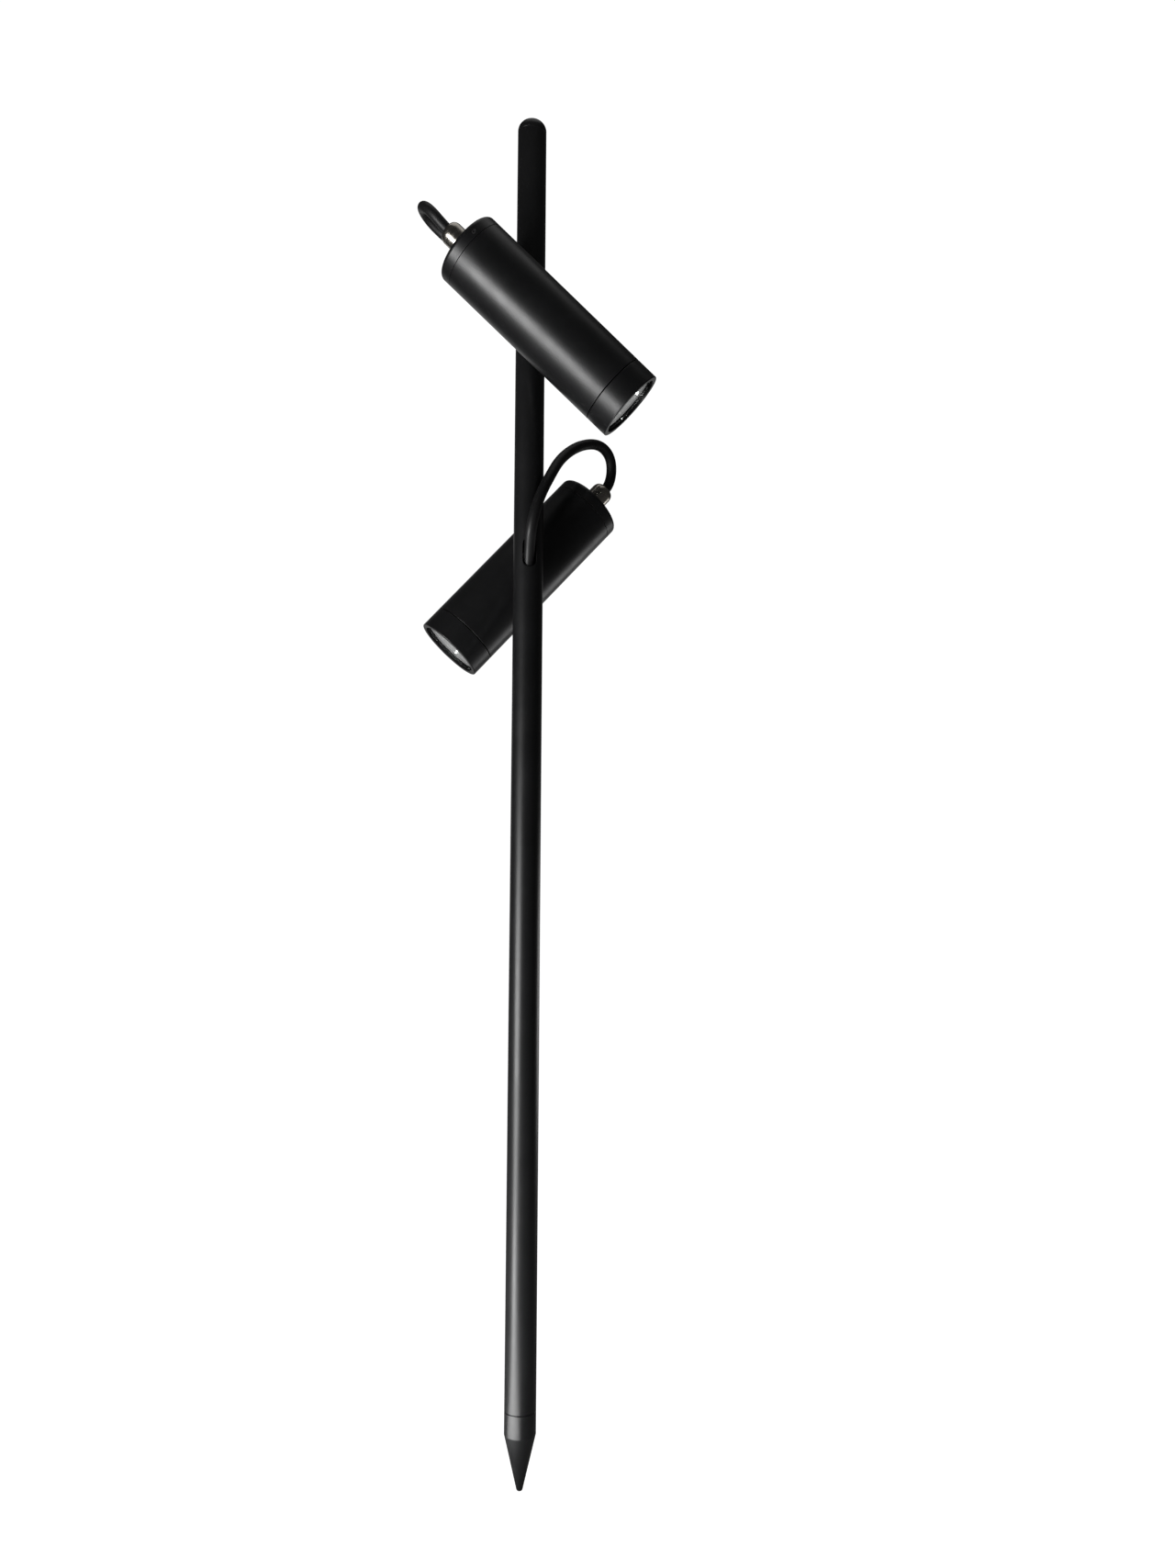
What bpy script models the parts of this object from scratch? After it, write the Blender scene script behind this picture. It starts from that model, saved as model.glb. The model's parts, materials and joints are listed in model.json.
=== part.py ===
"""Garden spotlight stake: a round pole on a screwed-in ground spike, with two cylindrical
spotlight heads on friction swivels, each fed by a short rubber lead that enters the pole
through a slot opposite its head.

Frame: +Z runs up the pole, the origin is the tip of the spike, the upper head hangs on the
pole's -Y side and the lower head on its +Y side. Every size is in metres.

Each head is built in its own lamp frame: +X runs along the lamp to its front, +Y points at
the pole, and the origin is where the swivel axis meets the lamp's axis. A "station" is a
distance along +X in that frame.
"""

import math

import bmesh
import bpy
import numpy as np
from mathutils import Vector

MM = 0.001
GAP = 0.3 * MM                      # clearance between pieces that touch

# ---- driving dimensions -------------------------------------------------------------
TOTAL_HEIGHT = 1000 * MM

POLE_RADIUS = 11 * MM
POLE_WALL = 1.5 * MM
POLE_BOTTOM = 52.5 * MM
POLE_TOP = 989 * MM
DOME_HEIGHT = 8.7 * MM
PLUG_DEPTH = 14 * MM                # how far the top plug goes into the pole

CONE_HEIGHT = 37 * MM               # from the spike's point to its shoulder
TIP_RADIUS = 1.7 * MM
TIP_HEIGHT = 1.2 * MM               # of the rounded point
STUD_RADIUS = 5 * MM
SEAL_SECTION = 0.55 * MM            # radius of an O-ring's section

LAMP_RADIUS = 27 * MM
LAMP_LENGTH = 163 * MM
LAMP_WALL = 4 * MM
BEZEL_LENGTH = 17.6 * MM
NOSE_RADIUS = 24.9 * MM             # the barrel's stepped nose, inside the bezel
LIP_DEPTH = 1.8 * MM                # the bezel's lip over the glass
GLASS_RADIUS = 23.9 * MM
GLASS_THICKNESS = 4 * MM
MOUTH_RADIUS = 21 * MM              # the reflector's wide end
THROAT_RADIUS = 7.6 * MM
REFLECTOR_DEPTH = 22.9 * MM
CAP_LENGTH = 9.5 * MM
CAP_ROUNDING = 3 * MM
CAP_PLUG_DEPTH = 6 * MM
CAP_SCREW_STATION = 5.8 * MM        # of the grub screw, from the rear of the cap
AXIS_DISTANCE = 45.75 * MM          # lamp axis to pole axis

SLOT_WIDTH = 10 * MM
SLOT_TOP = 11.6 * MM                # above the swivel axis
SLOT_BOTTOM = -10.4 * MM
BOLT_RADIUS = 3 * MM
BOLT_HEAD_RADIUS = 4.8 * MM
SWIVEL_RADIUS = 9 * MM
BOSS_TOP = 22 * MM                  # the boss's blank, before the barrel's shape is cut from it

GLAND_LENGTH = 18 * MM              # how far the gland stands out of the rear cap
COLLAR_LENGTH = 4.5 * MM            # of the gland's hexagon
COLLAR_RADIUS = 9.8 * MM            # over its corners
NUT_RADIUS = 8.6 * MM
LEAD_RADIUS = 4 * MM
FEED_RADIUS = 2.6 * MM
LINK_RADIUS = 1.6 * MM

INLET_HEIGHT = 95 * MM
INLET_NECK = 4 * MM                 # radius of the grommet where it passes the pole's wall
TERMINAL_TOP = 142 * MM
TERMINAL_LENGTH = 26 * MM

# ---- sizes worked out from them -----------------------------------------------------
POLE_BORE = POLE_RADIUS - POLE_WALL
LAMP_BORE = LAMP_RADIUS - LAMP_WALL
SPIGOT_RADIUS = POLE_BORE - GAP     # anything that plugs into the pole
LEAD_BORE = LEAD_RADIUS + GAP
BOLT_HOLE = BOLT_RADIUS + 0.4 * MM
GLASS_FACE = LIP_DEPTH + GAP        # the glass's outer face, behind the lamp's front
GLASS_BACK = GLASS_FACE + GLASS_THICKNESS
WALL_CUT = (POLE_BORE - 4.5 * MM, POLE_RADIUS + 3 * MM)     # reach of a cut through the wall

# stack of the swivel, as distances out from the pole's axis
SADDLE_FACE = 13.75 * MM
WASHER_BACK = SADDLE_FACE + GAP
WASHER_FACE = WASHER_BACK + 0.8 * MM
BOSS_FACE = WASHER_FACE + GAP
BOLT_TIP = AXIS_DISTANCE - LAMP_BORE - 1.2 * MM
HEAD_FACE = 5 * MM
SPRING_BACK = HEAD_FACE + GAP
SPRING_FACE = SPRING_BACK + 1.3 * MM
INNER_SADDLE_FACE = SPRING_FACE + GAP

JUNCTION_TOP = -28 * MM             # both from the swivel axis
JUNCTION_BOTTOM = -64 * MM

REACH = 20 * MM                     # half the length of a shape that a round neighbour cuts out

ROUND = 28                          # sides of the lamp's and the pole's round pieces
MEDIUM = 22                         # sides of washers, seals and optics
SMALL = 16                          # sides of small round pieces


class Lamp:
    """One spotlight head: where it swivels, which way it faces and where its lead runs."""

    def __init__(self, name, height, turn, aim, front, route):
        self.name = name
        self.height = height        # of the swivel axis
        self.turn = turn            # about the pole: 0 hangs it on -Y, pi on +Y
        self.aim = aim              # below the horizontal
        self.front = front          # station of the lamp's front face
        self.rear = front - LAMP_LENGTH
        self.route = route          # hand-chosen points of the free lead, in millimetres

    def axis_point(self, station):
        """A point on the lamp's own axis, in the pole's frame."""
        side = math.cos(self.turn)
        return Vector((side * station * math.cos(self.aim), -side * AXIS_DISTANCE,
                       self.height - station * math.sin(self.aim)))


# The lead leaves the gland, makes a loop, passes beside the pole and drops into the slot.
UPPER_ROUTE = [
    (-70.2, -46.5, 883.0), (-75.2, -46.4, 888.5), (-79.3, -43.2, 893.9), (-81.8, -37.0, 898.3),
    (-81.3, -28.6, 900.5), (-77.6, -20.9, 899.5), (-71.3, -15.8, 895.8), (-63.0, -13.7, 889.7),
    (-53.5, -12.2, 882.2), (-42.0, -10.5, 875.0), (-30.0, -6.0, 868.8), (-19.2, 3.0, 864.0),
    (-11.2, 13.3, 857.0), (-4.0, 19.5, 846.0), (-0.4, 17.0, 832.5), (0.0, 11.6, 823.0),
    (0.0, 7.6, 815.0), (0.0, 5.3, 808.0), (0.0, 4.8, 800.5),
]
LOWER_ROUTE = [
    (69.8, 43.9, 742.0), (67.0, 39.4, 751.6), (59.6, 34.4, 756.8), (47.0, 28.2, 755.0),
    (34.6, 19.6, 746.2), (24.0, 7.5, 732.5), (15.4, -6.8, 715.0), (8.2, -16.0, 698.5),
    (2.8, -19.7, 682.0), (0.3, -17.0, 668.5), (0.0, -11.6, 659.3), (0.0, -7.6, 651.3),
    (0.0, -5.3, 644.3), (0.0, -4.8, 636.8),
]

LAMPS = [
    Lamp("upper", 818.0 * MM, 0.0, math.radians(42.7), 93.6 * MM, UPPER_ROUTE),
    Lamp("lower", 654.3 * MM, math.pi, math.radians(47.9), 84.0 * MM, LOWER_ROUTE),
]


# ---- scene, materials and small helpers ---------------------------------------------
def clear_scene():
    for obj in list(bpy.data.objects):
        bpy.data.objects.remove(obj, do_unlink=True)


def new_collection(name):
    collection = bpy.data.collections.new(name)
    bpy.context.scene.collection.children.link(collection)
    return collection


def new_material(name, colour, roughness, metallic=0.0, alpha=1.0):
    material = bpy.data.materials.new(name)
    material.use_nodes = True
    shader = material.node_tree.nodes["Principled BSDF"]
    shader.inputs["Base Color"].default_value = (*colour, 1.0)
    shader.inputs["Roughness"].default_value = roughness
    shader.inputs["Metallic"].default_value = metallic
    shader.inputs["Alpha"].default_value = alpha
    return material


FINISHES = {
    "black_satin": ((0.012, 0.012, 0.013), 0.42, 0.6),
    "black_rubber": ((0.014, 0.014, 0.015), 0.6, 0.0),
    "nickel": ((0.62, 0.60, 0.56), 0.25, 1.0),
    "steel": ((0.55, 0.55, 0.56), 0.3, 1.0),
    "bare_aluminium": ((0.7, 0.7, 0.71), 0.35, 1.0),
    "mirror_aluminium": ((0.86, 0.86, 0.86), 0.08, 1.0),
    "clear_glass": ((0.9, 0.93, 0.93), 0.03, 0.0),
    "seal_silicone": ((0.05, 0.05, 0.05), 0.55, 0.0),
    "white_board": ((0.8, 0.8, 0.78), 0.4, 0.0),
    "phosphor": ((0.85, 0.72, 0.2), 0.5, 0.0),
    "potting": ((0.03, 0.03, 0.035), 0.5, 0.0),
    "nylon": ((0.04, 0.04, 0.045), 0.5, 0.0),
}


def finish(obj, finish_name):
    """Give a node a material of its own in one of the named finishes."""
    colour, roughness, metallic = FINISHES[finish_name]
    alpha = 0.35 if finish_name == "clear_glass" else 1.0
    obj.data.materials.append(new_material(obj.name, colour, roughness, metallic, alpha))
    return obj


def empty(name, parent=None, location=(0, 0, 0), rotation=(0, 0, 0)):
    obj = bpy.data.objects.new(name, None)
    PARTS.objects.link(obj)
    obj.parent = parent
    obj.location = location
    obj.rotation_euler = rotation
    return obj


UP = (0.0, 0.0, 0.0)                          # a turned piece's axis along the frame's +Z
FORWARD = (0.0, math.pi / 2, 0.0)             # ... along +X, so heights are stations
OUTWARD = (math.pi / 2, 0.0, 0.0)             # ... along -Y, out from the pole's axis


def place(obj, parent, direction, location=(0, 0, 0)):
    obj.parent = parent
    obj.rotation_euler = direction
    obj.location = location
    return obj


def as_cutter(obj):
    """Move a helper shape to the cutters, which aren't part of the object."""
    for collection in list(obj.users_collection):
        collection.objects.unlink(obj)
    CUTTERS.objects.link(obj)
    obj.hide_render = True
    obj.display_type = "WIRE"
    return obj


def shade(mesh):
    mesh.shade_smooth()
    mesh.set_sharp_from_angle(angle=math.radians(30))


def turned(name, profile, sides, ring=False):
    """A turned piece: profile points are (radius, height), down the outer side first.
    A ring's profile is a closed loop clear of the axis."""
    mesh = bpy.data.meshes.new(name)
    verts = [(radius, 0.0, height) for radius, height in profile]
    edges = [(i, i + 1) for i in range(len(verts) - 1)]
    if ring:
        edges.append((len(verts) - 1, 0))
    mesh.from_pydata(verts, edges, [])
    obj = bpy.data.objects.new(name, mesh)
    PARTS.objects.link(obj)
    screw = obj.modifiers.new("turn", "SCREW")
    screw.axis = "Z"
    screw.angle = math.tau
    screw.steps = sides
    screw.render_steps = sides
    screw.use_merge_vertices = True
    screw.merge_threshold = 0.00001
    screw.use_smooth_shade = True
    return obj


def tube_profile(outer, inner, top, bottom, chamfer=0.0):
    return [
        (outer - chamfer, top), (outer, top - chamfer), (outer, bottom + chamfer),
        (outer - chamfer, bottom), (inner, bottom), (inner, top),
    ] if chamfer else [(outer, top), (outer, bottom), (inner, bottom), (inner, top)]


def disc_profile(radius, top, bottom, chamfer=0.0):
    return [
        (0.0, top), (radius - chamfer, top), (radius, top - chamfer),
        (radius, bottom + chamfer), (radius - chamfer, bottom), (0.0, bottom),
    ] if chamfer else [(0.0, top), (radius, top), (radius, bottom), (0.0, bottom)]


def o_ring_profile(radius, section, height, corners=6):
    """A round section, run clockwise from its top so that it goes down its outer side."""
    turns = [math.tau * k / corners for k in range(corners)]
    return [(radius + section * math.sin(t), height + section * math.cos(t)) for t in turns]


def arc(centre, radius, start, stop, steps):
    """Points of an arc about (radius, height) centre; angles in degrees from the radius."""
    angles = np.radians(np.linspace(start, stop, steps + 1))
    return [(centre[0] + radius * math.cos(a), centre[1] + radius * math.sin(a)) for a in angles]


def cylinder(name, radius, bottom, top, sides=SMALL, across=(0.0, 0.0)):
    """A closed cylinder along the piece's own Z, between two heights."""
    mesh = bpy.data.meshes.new(name)
    bm = bmesh.new()
    made = bmesh.ops.create_cone(
        bm, cap_ends=True, segments=sides, radius1=radius, radius2=radius, depth=top - bottom)
    bmesh.ops.translate(bm, verts=made["verts"], vec=(*across, (top + bottom) / 2))
    bm.to_mesh(mesh)
    bm.free()
    obj = bpy.data.objects.new(name, mesh)
    PARTS.objects.link(obj)
    return obj


def obround(name, width, low, high, depth_from, depth_to):
    """A slot's prism: round ends at heights low and high, running along +Y."""
    mesh = bpy.data.meshes.new(name)
    bm = bmesh.new()
    radius = width / 2
    for middle in (low + radius, high - radius):
        made = bmesh.ops.create_cone(
            bm, cap_ends=True, segments=SMALL, radius1=radius, radius2=radius,
            depth=depth_to - depth_from)
        for vert in made["verts"]:
            x, y, z = vert.co
            vert.co = (x, z + (depth_to + depth_from) / 2, y + middle)
    bmesh.ops.delete(bm, geom=bm.edges[:], context="EDGES_FACES")
    bmesh.ops.convex_hull(bm, input=bm.verts)
    bmesh.ops.recalc_face_normals(bm, faces=bm.faces)
    bm.to_mesh(mesh)
    bm.free()
    obj = bpy.data.objects.new(name, mesh)
    PARTS.objects.link(obj)
    return obj


def boolean(obj, helper, operation):
    as_cutter(helper)
    modifier = obj.modifiers.new(operation.lower(), "BOOLEAN")
    modifier.object = helper
    modifier.operation = operation
    modifier.solver = "EXACT"
    return obj


def cut(obj, helper):
    return boolean(obj, helper, "DIFFERENCE")


def smooth_route(points, spacing):
    """Points read from a natural cubic spline through a route's own points."""
    nodes = np.array(points, float)
    legs = np.linalg.norm(np.diff(nodes, axis=0), axis=1)
    along = np.concatenate([[0.0], np.cumsum(legs)])
    count = len(nodes)
    system = np.eye(count)
    bends = np.zeros((count, 3))
    for i in range(1, count - 1):
        before, after = legs[i - 1], legs[i]
        system[i, i - 1:i + 2] = [before, 2 * (before + after), after]
        slope_after = (nodes[i + 1] - nodes[i]) / after
        slope_before = (nodes[i] - nodes[i - 1]) / before
        bends[i] = 6 * (slope_after - slope_before)
    curve = np.linalg.solve(system, bends)
    total = max(2, round(along[-1] / spacing))
    wanted = np.linspace(0.0, along[-1], total + 1)
    k = np.clip(np.searchsorted(along, wanted, side="right") - 1, 0, count - 2)
    leg = legs[k][:, None]
    a = (along[k + 1] - wanted)[:, None] / leg
    b = 1.0 - a
    bow = ((a ** 3 - a) * curve[k] + (b ** 3 - b) * curve[k + 1]) * leg ** 2 / 6
    return a * nodes[k] + b * nodes[k + 1] + bow


def cable(name, points, radius, spacing):
    """A cable as a tube along a smooth route, eight-sided, with closed ends."""
    data = bpy.data.curves.new(name, "CURVE")
    data.dimensions = "3D"
    data.bevel_depth = radius
    data.bevel_resolution = 2
    data.use_fill_caps = True
    route = smooth_route(points, spacing)
    spline = data.splines.new("POLY")
    spline.points.add(len(route) - 1)
    for point, place_at in zip(spline.points, route):
        point.co = (*place_at, 1.0)
    obj = bpy.data.objects.new(name, data)
    PARTS.objects.link(obj)
    return obj


# ---- pole, plug and spike -----------------------------------------------------------
def make_pole(mounts):
    """The tube, cut for each swivel bolt, each lead slot and the supply inlet."""
    pole = turned("pole_tube", tube_profile(POLE_RADIUS, POLE_BORE, POLE_TOP, POLE_BOTTOM),
                  ROUND, ring=True)
    finish(pole, "black_satin")
    for lamp, mount in mounts:
        hole = cylinder(f"{lamp.name}_bolt_hole", BOLT_HOLE, *WALL_CUT)
        cut(pole, place(hole, mount, OUTWARD))
        slot = obround(f"{lamp.name}_slot_cut", SLOT_WIDTH, SLOT_BOTTOM, SLOT_TOP, *WALL_CUT)
        cut(pole, place(slot, mount, UP))
    inlet = cylinder("inlet_hole", INLET_NECK + GAP, -WALL_CUT[1], -WALL_CUT[0])
    cut(pole, place(inlet, None, OUTWARD, (0, 0, INLET_HEIGHT)))


def make_top_plug():
    """A domed plug that closes the pole, with a groove for its O-ring."""
    shoulder = POLE_TOP + GAP
    rim = TOTAL_HEIGHT - DOME_HEIGHT
    dome = [(POLE_RADIUS * math.sin(t), rim + DOME_HEIGHT * math.cos(t))
            for t in np.radians(np.linspace(0, 90, 6))]
    dome[0] = (0.0, TOTAL_HEIGHT)
    bottom = POLE_TOP - PLUG_DEPTH
    middle = (POLE_TOP + bottom) / 2 - 1 * MM
    groove_top, groove_bottom = middle + 1.2 * MM, middle - 1.2 * MM
    groove = 7.9 * MM
    body = [
        (POLE_RADIUS, shoulder), (SPIGOT_RADIUS, shoulder), (SPIGOT_RADIUS, groove_top),
        (groove, groove_top), (groove, groove_bottom), (SPIGOT_RADIUS, groove_bottom),
        (SPIGOT_RADIUS, bottom), (0.0, bottom),
    ]
    finish(turned("top_plug", dome + body, ROUND), "black_satin")
    ring = o_ring_profile(groove + 0.8 * MM, SEAL_SECTION, middle)
    seal = turned("top_plug_seal", ring, MEDIUM, ring=True)
    finish(seal, "seal_silicone")


def make_spike():
    """The turned spike with its blunt tip, the socket pressed into the pole and the stud."""
    shoulder = POLE_BOTTOM - GAP
    register = shoulder + 3 * MM
    hole = STUD_RADIUS + GAP
    hole_floor = CONE_HEIGHT + 2 * MM
    tip = [(TIP_RADIUS * math.sin(t), TIP_HEIGHT * (1 - math.cos(t)))
           for t in np.radians((90, 50, 0))]
    profile = [
        (0.0, hole_floor), (hole, hole_floor), (hole, register), (SPIGOT_RADIUS, register),
        (SPIGOT_RADIUS, shoulder), (POLE_RADIUS - GAP, shoulder), (POLE_RADIUS, shoulder - GAP),
        (POLE_RADIUS, CONE_HEIGHT),
    ]
    finish(turned("ground_spike", profile + tip, ROUND), "black_satin")
    socket_bottom = register + 1 * MM
    socket_top = socket_bottom + 28 * MM
    socket = tube_profile(SPIGOT_RADIUS, hole, socket_top, socket_bottom, 0.5 * MM)
    finish(turned("spike_socket", socket, SMALL, ring=True), "bare_aluminium")
    stud = disc_profile(STUD_RADIUS, socket_top - 2 * MM, hole_floor + GAP, 0.7 * MM)
    finish(turned("spike_stud", stud, SMALL), "steel")


def make_inlet():
    """The blind rubber grommet of the supply inlet, and the terminal block inside."""
    lip, lip_back, lip_face, rounding = 6 * MM, POLE_RADIUS + GAP, 13 * MM, 0.8 * MM
    barb, barb_end, barb_face = 5 * MM, 5.8 * MM, 7.6 * MM
    profile = [
        (0.0, -barb_end), (barb, -barb_end), (barb, -barb_face), (INLET_NECK, -barb_face),
        (INLET_NECK, -lip_back), (lip, -lip_back), (lip, rounding - lip_face),
        (lip - rounding, -lip_face), (0.0, -lip_face),
    ]
    grommet = turned("inlet_grommet", profile, SMALL)
    finish(place(grommet, None, OUTWARD, (0, 0, INLET_HEIGHT)), "black_rubber")
    block = disc_profile(8.2 * MM, TERMINAL_TOP, TERMINAL_TOP - TERMINAL_LENGTH, 0.6 * MM)
    finish(turned("terminal_block", block, SMALL), "nylon")


def make_inner_cables():
    """The wiring that the pole hides: junction to junction, then down to the terminals."""
    upper, lower = LAMPS
    link_top = upper.height + JUNCTION_BOTTOM - GAP
    link_end = lower.height + JUNCTION_TOP + GAP
    link = [
        (-5.5 * MM, 0.0, link_top), (-6.2 * MM, 0.0, link_top - 15 * MM),
        (-7.2 * MM, 0.0, link_top - 40 * MM), (-7.2 * MM, 0.0, lower.height + 20 * MM),
        (-7.2 * MM, 0.0, lower.height - 10 * MM), (-6.2 * MM, 2.5 * MM, link_end + 5 * MM),
        (-6.0 * MM, 3.0 * MM, link_end),
    ]
    finish(cable("link_cable", link, LINK_RADIUS, 12 * MM), "black_rubber")
    feed_top = lower.height + JUNCTION_BOTTOM - GAP
    feed_end = TERMINAL_TOP + GAP
    feed = [
        (0.0, 0.0, feed_top), (1.5 * MM, 1.0 * MM, feed_top - 90 * MM),
        (-3.5 * MM, -1.0 * MM, feed_top - 220 * MM), (1.0 * MM, 2.0 * MM, feed_end + 110 * MM),
        (0.0, 0.0, feed_end + 12 * MM), (0.0, 0.0, feed_end),
    ]
    finish(cable("feed_cable", feed, FEED_RADIUS, 14 * MM), "black_rubber")


# ---- swivel --------------------------------------------------------------------------
def make_swivel(lamp, mount, swivel):
    """Pole saddle, friction washer and boss outside the pole, and the socket-head bolt with
    its spring washer and curved washer inside it. Heights are distances from the pole axis."""
    n = lamp.name

    saddle = cylinder(f"{n}_pole_saddle", SWIVEL_RADIUS, HEAD_FACE, SADDLE_FACE, MEDIUM)
    finish(place(saddle, mount, OUTWARD), "black_satin")
    pole_shape = cylinder(f"{n}_pole_envelope", POLE_RADIUS + GAP, -REACH, REACH, ROUND)
    cut(saddle, place(pole_shape, mount, UP))
    saddle_hole = cylinder(f"{n}_saddle_hole", BOLT_HOLE, 0.0, REACH)
    cut(saddle, place(saddle_hole, mount, OUTWARD))

    washer = tube_profile(SWIVEL_RADIUS, BOLT_HOLE, WASHER_FACE, WASHER_BACK)
    washer = turned(f"{n}_friction_washer", washer, MEDIUM, ring=True)
    finish(place(washer, mount, OUTWARD), "nylon")

    boss = cylinder(f"{n}_swivel_boss", SWIVEL_RADIUS, BOSS_FACE, BOSS_TOP, MEDIUM)
    finish(place(boss, swivel, OUTWARD), "black_satin")
    lamp_shape = cylinder(f"{n}_lamp_envelope", LAMP_RADIUS + GAP, -REACH, REACH, 2 * ROUND)
    cut(boss, place(lamp_shape, swivel, FORWARD, (0, -AXIS_DISTANCE, 0)))
    boss_hole = cylinder(f"{n}_boss_hole", BOLT_HOLE, 0.0, BOSS_TOP + GAP)
    cut(boss, place(boss_hole, swivel, OUTWARD))

    curved = cylinder(f"{n}_inner_saddle_washer", 5.2 * MM, INNER_SADDLE_FACE, POLE_RADIUS)
    finish(place(curved, mount, OUTWARD), "steel")
    bore_shape = cylinder(f"{n}_bore_envelope", SPIGOT_RADIUS, -REACH, REACH, ROUND)
    boolean(curved, place(bore_shape, mount, UP), "INTERSECT")
    curved_hole = cylinder(f"{n}_curved_hole", BOLT_HOLE, 0.0, REACH)
    cut(curved, place(curved_hole, mount, OUTWARD))

    spring = tube_profile(4.9 * MM, BOLT_HOLE, SPRING_FACE, SPRING_BACK)
    spring = turned(f"{n}_spring_washer", spring, SMALL, ring=True)
    finish(place(spring, mount, OUTWARD), "steel")

    chamfer = 0.5 * MM
    bolt = turned(f"{n}_swivel_bolt", [
        (0.0, BOLT_TIP), (BOLT_RADIUS - chamfer, BOLT_TIP), (BOLT_RADIUS, BOLT_TIP - chamfer),
        (BOLT_RADIUS, HEAD_FACE), (BOLT_HEAD_RADIUS, HEAD_FACE), (BOLT_HEAD_RADIUS, chamfer),
        (BOLT_HEAD_RADIUS - chamfer, 0.0), (0.0, 0.0)], SMALL)
    finish(place(bolt, swivel, OUTWARD), "steel")
    key_radius, key_depth = 2.9 * MM, 3 * MM        # 5 mm across flats
    key = cylinder(f"{n}_key_socket", key_radius, -key_depth, key_depth, 6)
    cut(bolt, place(key, swivel, OUTWARD))


# ---- lamp head -----------------------------------------------------------------------
def make_housing(lamp, frame):
    """The barrel, with a stepped nose that the bezel screws over and the bolt's hole."""
    n = lamp.name
    shoulder = lamp.front - BEZEL_LENGTH - GAP
    nose = lamp.front - GLASS_BACK - 2.1 * MM
    back = lamp.rear + CAP_LENGTH + GAP / 2
    barrel = turned(f"{n}_housing", [
        (NOSE_RADIUS, nose), (NOSE_RADIUS, shoulder), (LAMP_RADIUS - GAP, shoulder),
        (LAMP_RADIUS, shoulder - GAP), (LAMP_RADIUS, back + GAP), (LAMP_RADIUS - GAP, back),
        (LAMP_BORE, back), (LAMP_BORE, nose)], ROUND, ring=True)
    finish(place(barrel, frame, FORWARD), "black_satin")
    hole = cylinder(f"{n}_housing_hole", BOLT_HOLE, -LAMP_RADIUS - 3 * MM, 3 * MM - LAMP_BORE)
    cut(barrel, place(hole, frame, OUTWARD))


def make_bezel(lamp, frame):
    """The screwed front ring: a flat face, a short lip over the glass and the glass's seat."""
    front = lamp.front
    back = front - BEZEL_LENGTH + GAP
    opening, opening_edge, rim_edge = 23.3 * MM, 0.3 * MM, 0.5 * MM
    seat = GLASS_RADIUS + GAP
    skirt = NOSE_RADIUS + GAP
    lip = front - LIP_DEPTH
    step = front - GLASS_BACK - 1.8 * MM
    bezel = turned(f"{lamp.name}_front_bezel", [
        (LAMP_RADIUS - rim_edge, front), (LAMP_RADIUS, front - rim_edge),
        (LAMP_RADIUS, back + GAP), (LAMP_RADIUS - GAP, back), (skirt, back), (skirt, step),
        (seat, step), (seat, lip), (opening, lip), (opening, front - opening_edge),
        (opening + opening_edge, front)], ROUND, ring=True)
    finish(place(bezel, frame, FORWARD), "black_satin")


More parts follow.
